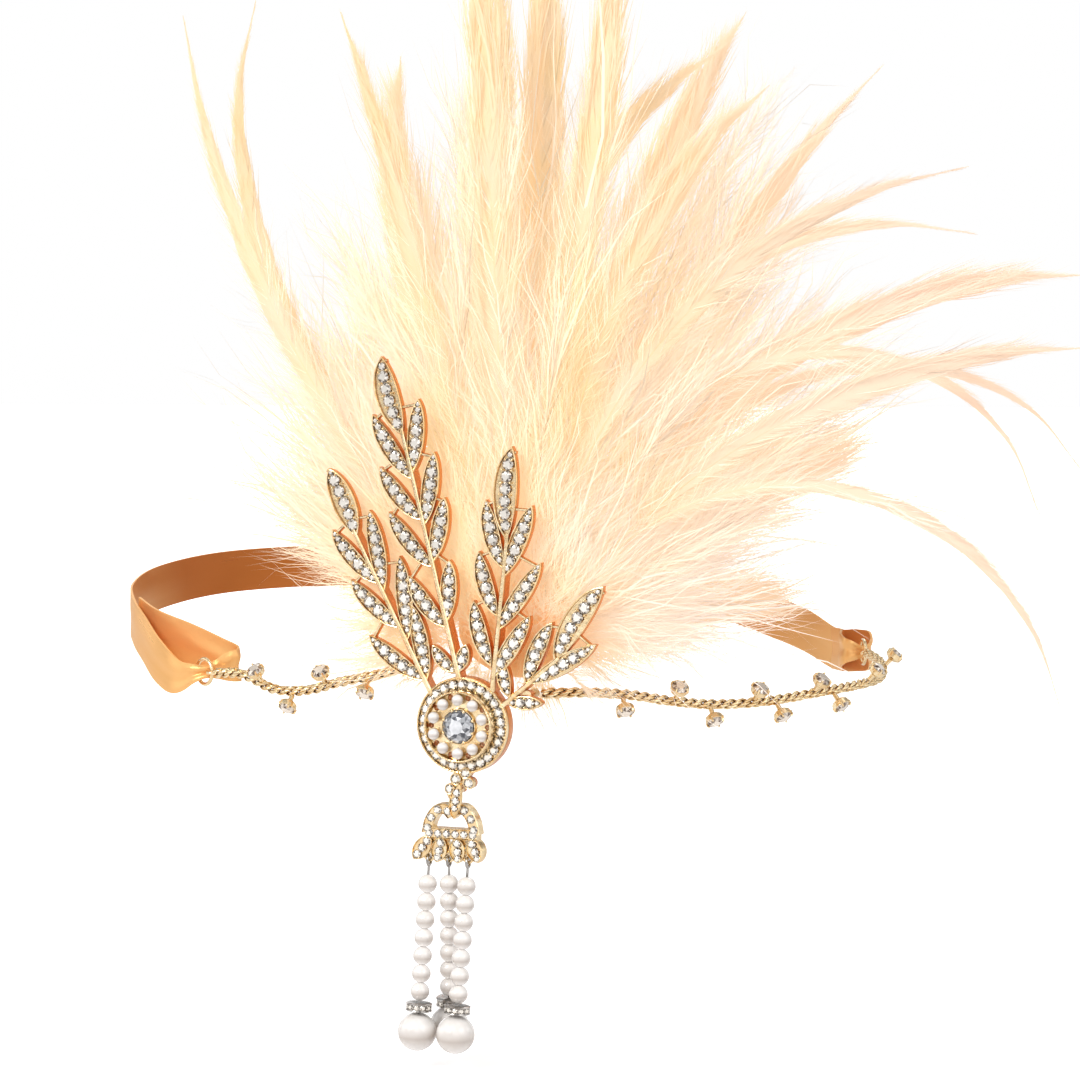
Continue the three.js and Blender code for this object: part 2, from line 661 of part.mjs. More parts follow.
// A rope chain: two lobes twisted round the path, with an eye at its far end for the ring
function ropeChain(name, start, path, ringAngle, ringUp) {
  const toward = Math.sign(ringAngle);
  const perDegree = (loopRadius * Math.PI) / 180;
  const eyeAngle = ringAngle - (toward * ringRadius) / perDegree;
  const endAngle = eyeAngle - (toward * chainEyeRadius) / perDegree;
  const points = [start, ...path.map((row) => onLoop(row.angle, row.out, row.up))];
  points.push(onLoop(endAngle, 0, ringUp));
  const curve = new THREE.CatmullRomCurve3(points, false, "centripetal");
  const length = curve.getLength();
  const steps = Math.round(length / ropeStep);
  const rings = [];
  for (let step = 0; step <= steps; step++) {
    const middle = curve.getPointAt(step / steps);
    const ahead = curve.getTangentAt(step / steps);
    const side = new THREE.Vector3(ahead.y, -ahead.x, 0).normalize();
    const above = side.clone().cross(ahead);
    const twist = ((step / steps) * length * 2 * Math.PI) / ropePitch;
    const ring = [];
    for (let i = 0; i < ropeSides; i++) {
      const angle = (i / ropeSides) * 2 * Math.PI;
      const radius = ropeMean + ropeLobe * Math.cos(2 * angle);
      const offset = side.clone().multiplyScalar(radius * Math.cos(angle + twist));
      offset.addScaledVector(above, radius * Math.sin(angle + twist));
      ring.push(middle.clone().add(offset));
    }
    rings.push(ring);
  }
  const eyeAt = onLoop(eyeAngle, 0, ringUp);
  const eye = wireRing(chainEyeRadius, chainEyeWire, "z").translate(eyeAt.x, eyeAt.y, eyeAt.z);
  piece(name, loft(rings).add(solidOf(eye)), gold, headband);
  return curve;
}
const besideLug = (row, side) => {
  const across = row.across + side * (lugRadius + chainEndGap);
  return jewel.localToWorld(new THREE.Vector3(across, castingBack + chainEndDepth, row.up));
};
const leftChain = ropeChain(
  "rope_chain_left", besideLug(leftLug, -1), leftChainPath, leftRingAngle, leftRingUp);
const rightChain = ropeChain(
  "rope_chain_right", besideLug(rightLug, 1), rightChainPath, rightRingAngle, rightRingUp);

// A ring lies along the loop and upright, so that the ribbon goes through it from outside to inside
function jumpRing(name, angle, up) {
  const normal = loopNormal(angle);
  const ring = wireRing(ringRadius, ringWire, "y", 14).rotateZ(Math.atan2(normal.x, -normal.y));
  const at = onLoop(angle, 0, up);
  piece(name, solidOf(ring.translate(at.x, at.y, at.z)), gold, headband);
}
jumpRing("jump_ring_left", leftRingAngle, leftRingUp);
jumpRing("jump_ring_right", rightRingAngle, rightRingUp);

// The point of a chain that lies at an angle on the loop
function chainAt(curve, angle) {
  const samples = curve.getSpacedPoints(400);
  const off = (point) => {
    const here = Math.atan2(point.x - loopShift, -point.y);
    return Math.abs(here - radians(angle));
  };
  return samples.reduce((best, point) => (off(point) < off(best) ? point : best));
}

function placeStud(name, curve, row) {
  const foot = chainAt(curve, row.angle);
  const tip = radians(studTip);
  const axis = loopNormal(row.angle).multiplyScalar(Math.cos(tip)).setZ(row.side * Math.sin(tip));
  const stud = piece(name, solidOf(turned(studProfile, 10)), gold, headband);
  stud.quaternion.setFromUnitVectors(new THREE.Vector3(0, 1, 0), axis);
  stud.position.copy(foot.addScaledVector(axis, ropeMean + ropeLobe + gap));
}
studs.left.forEach((row, index) => placeStud(`stud_left_${index + 1}`, leftChain, row));
studs.right.forEach((row, index) => placeStud(`stud_right_${index + 1}`, rightChain, row));

// A strip of ribbon standing on edge along stations of place, width and thickness
function strip(stations, steps) {
  const path = new THREE.CatmullRomCurve3(stations.map((row) => row.place), false, "centripetal");
  const size = new THREE.SplineCurve(stations.map((row) => new THREE.Vector2(row.width, row.thick)));
  const rings = [];
  for (let step = 0; step <= steps; step++) {
    const share = step / steps;
    const middle = path.getPoint(share);
    const ahead = path.getTangent(share);
    const { x: width, y: thick } = size.getPoint(share);
    const face = new THREE.Vector3(ahead.y, -ahead.x, 0).normalize().multiplyScalar(thick / 2);
    const edge = new THREE.Vector3(0, 0, width / 2);
    rings.push([
      middle.clone().add(face).add(edge),
      middle.clone().sub(face).add(edge),
      middle.clone().sub(face).sub(edge),
      middle.clone().add(face).sub(edge),
    ]);
  }
  return loft(rings);
}

function foldedEnd(rows, ringAngle, ringUp) {
  const toward = Math.sign(ringAngle);
  const perDegree = (loopRadius * Math.PI) / 180;
  const stations = rows.map((row) => ({
    place: onLoop(ringAngle + (toward * row.behind) / perDegree, row.out, ringUp + row.up),
    width: row.width,
    thick: row.thick,
  }));
  return strip(stations, rows.length * foldSteps);
}
const bandStations = bandPath.map((row) => ({
  place: onLoop(row.angle, 0, row.up),
  width: bandWidth,
  thick: bandThick,
}));
const ribbon = join([
  strip(bandStations, bandSteps),
  foldedEnd(leftFold, leftRingAngle, leftRingUp),
  foldedEnd(rightFold, rightRingAngle, rightRingUp),
]);
piece("ribbon", ribbon, satin, headband);

// A feather: a thin blade that leaves the backing as a quill, widens, bends over and ends in a point
function featherBlade(row, layer) {
  const tilt = radians(layer.tilt + sweepBack * Math.max(0, row.lean));
  const place = new THREE.Vector3(backing.across + row.root, layer.depth, backing.up);
  const stride = row.length / featherSteps;
  const rings = [];
  for (let step = 0; step <= featherSteps; step++) {
    const share = step / featherSteps;
    const lean = radians(THREE.MathUtils.lerp(row.lean, row.tipLean, share ** row.bend));
    const ahead = new THREE.Vector3(
      Math.sin(lean) * Math.cos(tilt),
      Math.sin(tilt),
      Math.cos(lean) * Math.cos(tilt),
    );
    if (step > 0) place.addScaledVector(ahead, stride);
    const side = new THREE.Vector3(Math.cos(lean), 0, -Math.sin(lean));
    const face = side.clone().cross(ahead);
    const swell = THREE.MathUtils.smoothstep(share, 0.04, 0.42);
    const taper = 1 - THREE.MathUtils.smoothstep(share, 0.5, 1.04);
    const half = Math.max(quillWidth, row.width * swell * taper) / 2;
    const thick = THREE.MathUtils.lerp(quillThick, featherThick, swell * taper) / 2;
    rings.push([
      place.clone().addScaledVector(side, half),
      place.clone().addScaledVector(face, thick),
      place.clone().addScaledVector(side, -half),
      place.clone().addScaledVector(face, -thick),
    ]);
  }
  return loft(rings);
}

const felt = sphere(1, 12, 8).scale(backing.halfWidth, backing.halfDepth, backing.halfHeight);
felt.translate(backing.across, backing.depth, backing.up);
const blades = featherLayers.flatMap((layer) => layer.feathers.map((row) => featherBlade(row, layer)));
piece("feather_plume", join([solidOf(felt), ...blades]), feather, jewel);

export default headband;
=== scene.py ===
import bpy
import bmesh
import math
import numpy as np
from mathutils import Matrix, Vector
from mathutils.kdtree import KDTree


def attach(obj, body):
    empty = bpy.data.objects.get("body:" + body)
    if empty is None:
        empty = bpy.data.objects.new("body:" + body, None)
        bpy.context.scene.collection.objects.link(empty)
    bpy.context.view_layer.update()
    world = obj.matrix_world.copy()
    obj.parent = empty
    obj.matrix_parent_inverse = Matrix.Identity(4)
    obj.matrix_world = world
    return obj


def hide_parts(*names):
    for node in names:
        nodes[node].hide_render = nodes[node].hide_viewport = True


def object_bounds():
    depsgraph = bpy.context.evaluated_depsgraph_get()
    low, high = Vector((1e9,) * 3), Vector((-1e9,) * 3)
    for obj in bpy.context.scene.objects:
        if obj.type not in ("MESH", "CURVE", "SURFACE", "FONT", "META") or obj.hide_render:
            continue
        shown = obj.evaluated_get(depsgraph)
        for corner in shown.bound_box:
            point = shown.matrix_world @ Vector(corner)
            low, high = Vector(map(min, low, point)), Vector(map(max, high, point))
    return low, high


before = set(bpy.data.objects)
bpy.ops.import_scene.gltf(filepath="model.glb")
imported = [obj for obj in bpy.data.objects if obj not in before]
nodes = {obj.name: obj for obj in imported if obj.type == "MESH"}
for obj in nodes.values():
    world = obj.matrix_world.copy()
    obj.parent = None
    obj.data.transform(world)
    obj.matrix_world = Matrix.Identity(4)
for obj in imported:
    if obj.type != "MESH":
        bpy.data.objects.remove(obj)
cadLow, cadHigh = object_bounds()
scene = bpy.context.scene
mm = 0.001
fullTurn = 2 * math.pi
goldenShare = 0.618  # spreads a series evenly
goldenTurn = 2.39996
upward = np.array([0.0, 0.0, 1.0])
tubeAside = (0.11, 0.93, 0.35)  # no tube runs this way
ringAside = (0.31, 0.22, 0.92)  # no ring or turned form has this axis
sharpFold, softFold = 40, 60  # degrees between faces that stay a crease
mergeReach = 1e-7


# small helpers for arrays and meshes
def unit(rows):
    rows = np.asarray(rows, float)
    return rows / np.maximum(np.linalg.norm(rows, axis=-1, keepdims=True), 1e-12)


def smoothStep(value, low, high):
    t = np.clip((np.asarray(value, float) - low) / (high - low), 0, 1)
    return t * t * (3 - 2 * t)


# even angles round a circle, moved on by a share of a step
def evenTurns(count, shift=0.0):
    return (np.arange(count) + shift) / count * fullTurn


def newObject(name, mesh):
    made = bpy.data.objects.new(name, mesh)
    scene.collection.objects.link(made)
    return made


def addValues(mesh, label, values, domain="POINT"):
    layer = mesh.attributes.new(label, "FLOAT", domain)
    layer.data.foreach_set("value", np.asarray(values, np.float32))


# a UV map from one place for each point
def addFlatMap(mesh, label, places):
    layer = mesh.uv_layers.new(name=label)
    corners = np.zeros(len(mesh.loops), np.int32)
    mesh.loops.foreach_get("vertex_index", corners)
    layer.data.foreach_set("uv", np.asarray(places, np.float32)[corners].ravel())


def meshPoints(mesh):
    points = np.zeros(len(mesh.vertices) * 3, np.float32)
    mesh.vertices.foreach_get("co", points)
    return points.reshape(-1, 3)


# turns all faces outward, once four-sided ones are split where that is asked
def turnFaces(work, split=False):
    if split:
        bmesh.ops.triangulate(work, faces=[face for face in work.faces if len(face.verts) == 4])
    bmesh.ops.recalc_face_normals(work, faces=work.faces)


# the same for a finished mesh, once doubled points are merged where that is asked
def turnOutward(mesh, merge=False, split=False):
    work = bmesh.new()
    work.from_mesh(mesh)
    if merge:
        bmesh.ops.remove_doubles(work, verts=work.verts, dist=mergeReach)
    turnFaces(work, split)
    work.to_mesh(mesh)
    work.free()


# an open list of points and faces that loops of points are added to
def newShell():
    return {"points": [], "faces": []}


def addLoft(shell, loops, closed=True):
    start, count = len(shell["points"]), len(loops[0])
    for loop in loops:
        shell["points"].extend(tuple(point) for point in loop)
    for ring in range(len(loops) - 1):
        for i in range(count):
            a = start + ring * count + i
            b = start + ring * count + (i + 1) % count
            shell["faces"].append((a, b, b + count, a + count))
    if closed:
        last = start + (len(loops) - 1) * count
        shell["faces"].append(tuple(range(start + count - 1, start - 1, -1)))
        shell["faces"].append(tuple(range(last, last + count)))


def shellMesh(name, shell, finish, fold=sharpFold):
    mesh = bpy.data.meshes.new(name)
    mesh.from_pydata(shell["points"], [], shell["faces"])
    turnOutward(mesh, merge=True)
    mesh.shade_smooth()
    mesh.set_sharp_from_angle(angle=math.radians(fold))
    mesh.materials.append(finish)
    return mesh


def addTube(shell, line, radius, sides=8):
    line = np.asarray(line, float)
    ahead = unit(np.gradient(line, axis=0))
    side = unit(np.cross(ahead, tubeAside))
    above = np.cross(side, ahead)
    turns = evenTurns(sides)
    radius = np.broadcast_to(radius, len(line))
    addLoft(shell, [line[i] + radius[i] * (np.outer(np.cos(turns), side[i]) + np.outer(np.sin(turns), above[i]))
                    for i in range(len(line))])


def squareTo(axis):
    first = unit(np.cross(axis, ringAside))
    return first, np.cross(axis, first)


# radius and wire in mm
def addRing(shell, middle, axis, radius, wire, steps=32, sides=10):
    axis = unit(axis)
    first, second = squareTo(axis)
    section = evenTurns(sides)
    loops = []
    for turn in evenTurns(steps):
        out = first * math.cos(turn) + second * math.sin(turn)
        edge = np.outer(np.cos(section), out) + np.outer(np.sin(section), axis)
        loops.append(middle + out * (radius * mm) + wire * mm * edge)
    addLoft(shell, loops + [loops[0]], closed=False)


# a turned form from rows of radius and height about an axis, in mm
def addTurned(shell, middle, axis, profile, sides):
    axis = unit(axis)
    first, second = squareTo(axis)
    turns = evenTurns(sides)
    spokes = np.outer(np.cos(turns), first) + np.outer(np.sin(turns), second)
    addLoft(shell, [middle + spokes * (radius * mm) + axis * (height * mm) for radius, height in profile])


# small helpers for node trees
def addNode(tree, kind, inputs=None, **settings):
    node = tree.nodes.new(kind)
    for name, value in settings.items():
        setattr(node, name, value)
    for name, value in (inputs or {}).items():
        if isinstance(value, bpy.types.NodeSocket):
            tree.links.new(value, node.inputs[name])
        else:
            node.inputs[name].default_value = value
    return node


def numberMath(tree, operation, *values):
    return addNode(tree, "ShaderNodeMath", dict(enumerate(values)), operation=operation).outputs[0]


def vectorMath(tree, operation, *values):
    return addNode(tree, "ShaderNodeVectorMath", dict(enumerate(values)), operation=operation).outputs[0]


def dotProduct(tree, first, second):
    return addNode(tree, "ShaderNodeVectorMath", {0: first, 1: second}, operation="DOT_PRODUCT").outputs["Value"]


def scaleVector(tree, vector, scale):
    return addNode(tree, "ShaderNodeVectorMath", {0: vector, "Scale": scale}, operation="SCALE").outputs[0]


# the tree that sets one shape on many points, and bends what carries an "along" value
def makePointTree():
    tree = bpy.data.node_groups.new("setOnPoints", "GeometryNodeTree")
    sockets = {"Geometry": "Geometry", "Shape": "Object", "Turn": "Float", "Ruffle": "Float",
               "Ruffle Size": "Float", "Seed": "Int", "Finish": "Material"}
    for name, kind in sockets.items():
        tree.interface.new_socket(name, in_out="INPUT", socket_type="NodeSocket" + kind)
    tree.interface.new_socket("Geometry", in_out="OUTPUT", socket_type="NodeSocketGeometry")
    given = addNode(tree, "NodeGroupInput").outputs

    def named(name, kind="FLOAT_VECTOR"):
        node = addNode(tree, "GeometryNodeInputNamedAttribute", {"Name": name}, data_type=kind)
        return node.outputs["Attribute"]

    axes = addNode(tree, "FunctionNodeAxesToRotation", {0: named("aim"), 1: named("side")},
                   primary_axis="Z", secondary_axis="X")
    chance = addNode(tree, "FunctionNodeRandomValue", {3: given["Turn"], 8: given["Seed"]}, data_type="FLOAT")
    turn = addNode(tree, "FunctionNodeAxisAngleToRotation", {"Axis": (0, 0, 1), "Angle": chance.outputs[1]})
    facing = addNode(tree, "FunctionNodeRotateRotation", {0: axes.outputs[0], 1: turn.outputs[0]},
                     rotation_space="LOCAL")
    shape = addNode(tree, "GeometryNodeObjectInfo", {"Object": given["Shape"]})
    placed = addNode(tree, "GeometryNodeInstanceOnPoints", {
        "Points": given["Geometry"], "Instance": shape.outputs["Geometry"],
        "Rotation": facing.outputs[0], "Scale": named("size")})
    solid = addNode(tree, "GeometryNodeRealizeInstances", {"Geometry": placed.outputs[0]})
    where = addNode(tree, "GeometryNodeInputPosition").outputs[0]
    noise = addNode(tree, "ShaderNodeTexNoise", {"Vector": where, "Scale": given["Ruffle Size"], "Detail": 2.0})
    sway = vectorMath(tree, "SUBTRACT", noise.outputs[1], (0.5, 0.5, 0.5))
    strength = numberMath(tree, "MULTIPLY", named("along", "FLOAT"), given["Ruffle"])
    bent = addNode(tree, "GeometryNodeSetPosition", {
        "Geometry": solid.outputs[0], "Offset": scaleVector(tree, sway, strength)})
    dressed = addNode(tree, "GeometryNodeSetMaterial", {"Geometry": bent.outputs[0], "Material": given["Finish"]})
    addNode(tree, "NodeGroupOutput", {"Geometry": dressed.outputs[0]})
    return tree, {item.name: item.identifier for item in tree.interface.items_tree if item.in_out == "INPUT"}


pointTree, pointSockets = makePointTree()


# rows: at, aim (the shape's Z), side (its X) and size, each three columns; extra: more values for each point
def setOnPoints(name, shape, rows, finish, turn=0.0, ruffle=0.0, ruffleSize=1.0, seed=1, extra=None):
    mesh = bpy.data.meshes.new(name + "Points")
    mesh.vertices.add(len(rows["at"]))
    mesh.vertices.foreach_set("co", np.asarray(rows["at"], np.float32).ravel())
    for label in ("aim", "side", "size"):
        layer = mesh.attributes.new(label, "FLOAT_VECTOR", "POINT")
        layer.data.foreach_set("vector", np.asarray(rows[label], np.float32).ravel())
    for label, values in (extra or {}).items():
        addValues(mesh, label, values)
    holder = newObject(name + "Points", mesh)
    modifier = holder.modifiers.new("setOnPoints", "NODES")
    modifier.node_group = pointTree
    wanted = {"Shape": shape, "Turn": turn, "Ruffle": ruffle, "Ruffle Size": ruffleSize, "Seed": seed,
              "Finish": finish}
    for label, value in wanted.items():
        modifier[pointSockets[label]] = value
    depsgraph = bpy.context.evaluated_depsgraph_get()
    made = bpy.data.meshes.new_from_object(holder.evaluated_get(depsgraph), depsgraph=depsgraph)
    made.name = name
    for label in ("aim", "side", "size"):
        if label in made.attributes:
            made.attributes.remove(made.attributes[label])
    holder.modifiers.remove(modifier)
    bpy.data.objects.remove(holder)
    bpy.data.meshes.remove(mesh)
    return made


def joinMeshes(name, meshes):
    parts = [newObject(name + "Part", mesh) for mesh in meshes]
    bpy.context.view_layer.update()
    with bpy.context.temp_override(active_object=parts[0], object=parts[0], selected_objects=parts,
                                   selected_editable_objects=parts):
        bpy.ops.object.join()
    parts[0].name = name
    parts[0].data.name = name
    return parts[0]


def dress(piece, body, slotName, *standsFor):
    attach(piece, body)
    if standsFor:
        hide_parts(*standsFor)
    count = sum(len(face.vertices) - 2 for face in piece.data.polygons)
    print("made", piece.name, count, "triangles")
    return piece


# finishes; first a soft patchy mask on any coordinates
def makeMottle():
    group = bpy.data.node_groups.new("mottle", "ShaderNodeTree")
    group.interface.new_socket("Coords", in_out="INPUT", socket_type="NodeSocketVector")
    for name, value in (("Scale", 100.0), ("Detail", 2.0), ("Low", 0.3), ("High", 0.7)):
        group.interface.new_socket(name, in_out="INPUT", socket_type="NodeSocketFloat").default_value = value
    group.interface.new_socket("Mask", in_out="OUTPUT", socket_type="NodeSocketFloat")
    given = addNode(group, "NodeGroupInput").outputs
    noise = addNode(group, "ShaderNodeTexNoise", {
        "Vector": given["Coords"], "Scale": given["Scale"], "Detail": given["Detail"]})
    spread = addNode(group, "ShaderNodeMapRange", {
        "Value": noise.outputs[0], "From Min": given["Low"], "From Max": given["High"]})
    addNode(group, "NodeGroupOutput", {"Mask": spread.outputs["Result"]})
    return group


mottle = makeMottle()


def newFinish(name, fixed):
    material = bpy.data.materials.new(name)
    material.use_nodes = True
    tree = material.node_tree
    shader = tree.nodes["Principled BSDF"]
    for socket, value in fixed.items():
        shader.inputs[socket].default_value = value
    return material, tree, shader


def objectCoords(tree):
    return addNode(tree, "ShaderNodeTexCoord").outputs["Object"]


def readValue(tree, label):
    return addNode(tree, "ShaderNodeAttribute", attribute_name=label).outputs["Fac"]


def mottleMask(tree, coords, scale, low=0.3, high=0.7, detail=2.0):
    node = addNode(tree, "ShaderNodeGroup", node_tree=mottle)
    tree.links.new(coords, node.inputs["Coords"])
    for name, value in (("Scale", scale), ("Low", low), ("High", high), ("Detail", detail)):
        node.inputs[name].default_value = value
    return node.outputs["Mask"]


def mixColours(tree, mask, first, second):
    return addNode(tree, "ShaderNodeMix", {0: mask, 6: first, 7: second}, data_type="RGBA").outputs[2]


def patchy(tree, coords, scale, first, second, detail=2.0):
    return mixColours(tree, mottleMask(tree, coords, scale, detail=detail), first, second)


def mapValue(tree, value, fromLow, fromHigh, low, high):
    return addNode(tree, "ShaderNodeMapRange", {"Value": value, "From Min": fromLow, "From Max": fromHigh,
                                                "To Min": low, "To Max": high}).outputs["Result"]


def roughen(tree, shader, coords, scale, low, high):
    tree.links.new(mapValue(tree, mottleMask(tree, coords, scale), 0, 1, low, high), shader.inputs["Roughness"])


def bumpFrom(tree, shader, height, strength, distance):
    bump = addNode(tree, "ShaderNodeBump", {"Strength": strength, "Distance": distance, "Height": height})
    tree.links.new(bump.outputs[0], shader.inputs["Normal"])


castingLook = {"front": 97, "drop": 7, "turn": -12}
castingInward = (0.207912, 0.978148, 0)  # from the casting's face to its back

# champagne gold; on the casting, the side walls get painted light: painted shade in the edge colour near the face,
# then a painted orange reflection of the feathers deeper in
goldLook = {"face": (1.0, 0.83, 0.54, 1), "worn": (0.82, 0.58, 0.30, 1), "edge": (0.36, 0.19, 0.07, 1),
            "featherReflection": (0.76, 0.27, 0.06, 1), "patch": 420, "scuff": 900, "roughness": (0.14, 0.3), "grain": 1600,
            "grainStrength": 0.2, "grainDepth": 0.1, "wallMetal": 0.5,
            "walls": (-2.2, -1.95, -1.5, 0.9, 1.15)}  # depths where the painted shade (edge) and painted reflection colours start and end


def makeGold(name, walls=False):
    material, tree, shader = newFinish(name, {"Metallic": 1.0})
    coords = objectCoords(tree)
    colour = patchy(tree, coords, goldLook["patch"], goldLook["face"], goldLook["worn"])
    if walls:
        plane = -castingLook["front"] * mm * castingInward[1]
        rimStart, rimEnd, deepStart, deepEnd, backStart = (plane + depth * mm for depth in goldLook["walls"])
        depth = dotProduct(tree, coords, castingInward)
        front = mapValue(tree, depth, rimStart, rimEnd, 0, 1)
        back = mapValue(tree, depth, deepEnd, backStart, 1, 0)
        facing = addNode(tree, "ShaderNodeNewGeometry").outputs["True Normal"]
        level = numberMath(tree, "ABSOLUTE", dotProduct(tree, facing, castingInward))
        upright = mapValue(tree, level, 0.6, 0.9, 1, 0)
        wall = numberMath(tree, "MULTIPLY", numberMath(tree, "MULTIPLY", front, back), upright)
        # painted shade and reflection on the walls: dark brown near the face, turning to the orange of the feathers
        # deeper down
        warmShade = mixColours(tree, mapValue(tree, depth, rimEnd, deepStart, 0, 1), goldLook["edge"], goldLook["featherReflection"])
        colour = mixColours(tree, wall, colour, warmShade)
        tree.links.new(mapValue(tree, wall, 0, 1, 1.0, goldLook["wallMetal"]), shader.inputs["Metallic"])
    # painted shade: where the creaseShade value is high, in the rope's crevices, the gold turns to the dark edge
    # colour
    colour = mixColours(tree, readValue(tree, "creaseShade"), colour, goldLook["edge"])
    tree.links.new(colour, shader.inputs["Base Color"])
    roughen(tree, shader, coords, goldLook["scuff"], *goldLook["roughness"])
    bumpFrom(tree, shader, mottleMask(tree, coords, goldLook["grain"]), goldLook["grainStrength"],
             goldLook["grainDepth"] * mm)
    return material


castGold = makeGold("castGold", walls=True)
chainGold = makeGold("chainGold")

silverLook = {"bright": (0.62, 0.60, 0.58, 1), "dark": (0.24, 0.22, 0.20, 1), "patch": 500, "scuff": 900,
              "roughness": (0.12, 0.3)}


def makeSilver():
    material, tree, shader = newFinish("wireSilver", {"Metallic": 1.0})
    coords = objectCoords(tree)
    tree.links.new(patchy(tree, coords, silverLook["patch"], silverLook["bright"], silverLook["dark"]),
                   shader.inputs["Base Color"])
    roughen(tree, shader, coords, silverLook["scuff"], *silverLook["roughness"])
    return material


wireSilver = makeSilver()

# glass with painted glints and dark reflections: each facet has its own painted brightness, from the first colour to
# the second
glassLook = {"paveGlass": ((0.08, 0.055, 0.04, 1), (0.96, 0.91, 0.83, 1)),
             "studGlass": ((0.10, 0.045, 0.02, 1), (0.98, 0.88, 0.76, 1)),
             "centreGlass": ((0.06, 0.065, 0.08, 1), (0.9, 0.92, 0.96, 1))}
glintPatches = {"patch": 700, "share": 0.12}


def makeGlass(name):
    material, tree, shader = newFinish(name, {"Roughness": 0.05, "Metallic": 0.55, "Coat Weight": 1.0,
                                              "Coat Roughness": 0.02, "IOR": 1.6})
    haze = mottleMask(tree, objectCoords(tree), glintPatches["patch"])
    haze = mapValue(tree, haze, 0, 1, -glintPatches["share"], glintPatches["share"])
    blend = numberMath(tree, "ADD", readValue(tree, "glint"), haze)
    tree.links.new(mixColours(tree, blend, *glassLook[name]), shader.inputs["Base Color"])
    return material


paveGlass, studGlass, centreGlass = (makeGlass(name) for name in glassLook)

# imitation pearl, with painted shade: a greyer belt just below its middle, by how far the surface faces up
pearlLook = {"skin": (0.90, 0.86, 0.82, 1), "bloom": (0.95, 0.92, 0.90, 1), "shadeBelt": (0.50, 0.43, 0.38, 1),
             "patch": 260, "scuff": 520, "roughness": (0.16, 0.26), "shadeBeltShare": 0.9,
             "shadeBeltStart": (-0.8, -0.25), "shadeBeltEnd": (-0.2, 0.4)}  # how far the surface faces up there


def makePearl():
    material, tree, shader = newFinish("pearlLustre", {"Coat Weight": 1.0, "Coat Roughness": 0.06,
                                                       "Specular IOR Level": 0.8})
    coords = objectCoords(tree)
    skin = patchy(tree, coords, pearlLook["patch"], pearlLook["skin"], pearlLook["bloom"])
    # painted shade: the grey belt follows the surface's facing, not the pearl's own colour
    upFace = dotProduct(tree, addNode(tree, "ShaderNodeNewGeometry").outputs["Normal"], (0, 0, 1))
    rise = mapValue(tree, upFace, *pearlLook["shadeBeltStart"], 0.0, pearlLook["shadeBeltShare"])
    fall = mapValue(tree, upFace, *pearlLook["shadeBeltEnd"], pearlLook["shadeBeltShare"], 0.0)
    shadeBelt = numberMath(tree, "MULTIPLY", rise, fall)
    tree.links.new(mixColours(tree, shadeBelt, skin, pearlLook["shadeBelt"]), shader.inputs["Base Color"])
    roughen(tree, shader, coords, pearlLook["scuff"], *pearlLook["roughness"])
    return material


pearlLustre = makePearl()

# satin with painted shade: darker on its inner side, toward the back of the loop, and painted sheen in lit and shaded
# streaks
satinLook = {"light": (0.95, 0.53, 0.21, 1), "shade": (0.91, 0.49, 0.18, 1), "dark": (0.46, 0.12, 0.018, 1),
             "streak": (30, 420, 1), "roughness": (0.27, 0.33), "ribs": 2600, "ribStrength": 0.12, "ribDepth": 0.04,
             "innerShadeToward": (-0.5, 1, 0), "innerShadeFrom": (0.0, 0.07), "innerShadeShare": 0.9}


def makeSatin():
    material, tree, shader = newFinish("apricotSatin", {"Metallic": 0.5, "Specular IOR Level": 0.2,
                                                        "Specular Tint": (1.0, 0.8, 0.55, 1)})
    cloth = addNode(tree, "ShaderNodeUVMap", uv_map="cloth").outputs["UV"]
    drawn = addNode(tree, "ShaderNodeMapping", {"Vector": cloth, "Scale": satinLook["streak"]}).outputs[0]
    streak = mottleMask(tree, drawn, 1.0, 0.25, 0.75)
    # painted sheen and shade: the streaks mix a lit and a shaded copy of the satin colour
    colour = mixColours(tree, streak, satinLook["light"], satinLook["shade"])
    coords = objectCoords(tree)
    # painted shade on the inner side of the ribbon, toward the back of the loop
    place = dotProduct(tree, coords, satinLook["innerShadeToward"])
    outward = dotProduct(tree, coords, addNode(tree, "ShaderNodeNewGeometry").outputs["True Normal"])
    toBack = mapValue(tree, place, *satinLook["innerShadeFrom"], 0.0, satinLook["innerShadeShare"])
    innerShade = numberMath(tree, "MULTIPLY", toBack, mapValue(tree, outward, -0.03, 0.0, 1.0, 0.0))
    tree.links.new(mixColours(tree, innerShade, colour, satinLook["dark"]), shader.inputs["Base Color"])
    tree.links.new(mapValue(tree, streak, 0, 1, *satinLook["roughness"]), shader.inputs["Roughness"])
    threads = addNode(tree, "ShaderNodeTexWave", {"Vector": cloth, "Scale": satinLook["ribs"]}, bands_direction="Y")
    bumpFrom(tree, shader, threads.outputs[1], satinLook["ribStrength"], satinLook["ribDepth"] * mm)
    return material


apricotSatin = makeSatin()


# places on the casting and on the loop
def onCasting(across, depth, up):
    turn = math.radians(castingLook["turn"])
    across, depth, up = np.broadcast_arrays(*(np.asarray(v, float) for v in (across, depth, up)))
    x = across * math.cos(turn) - depth * math.sin(turn)
    y = across * math.sin(turn) + depth * math.cos(turn) - castingLook["front"]
    return np.stack([x, y, up - castingLook["drop"]], -1) * mm


castingMiddle = onCasting(0, 0, 0)
castingOut = unit(onCasting(0, -1, 0) - castingMiddle)
castingSide = unit(onCasting(1, 0, 0) - castingMiddle)

loopShift = -3
loopRadius = 90
perDegree = loopRadius * math.pi / 180
loopOutline = np.array([(-75, 90), (25, 90), (45, 91.5), (65, 92), (75, 88.6), (85, 83.6), (95, 80), (112, 80),
                        (140, 84), (175, 89), (215, 90), (300, 90)], float)  # angle from the front, reach


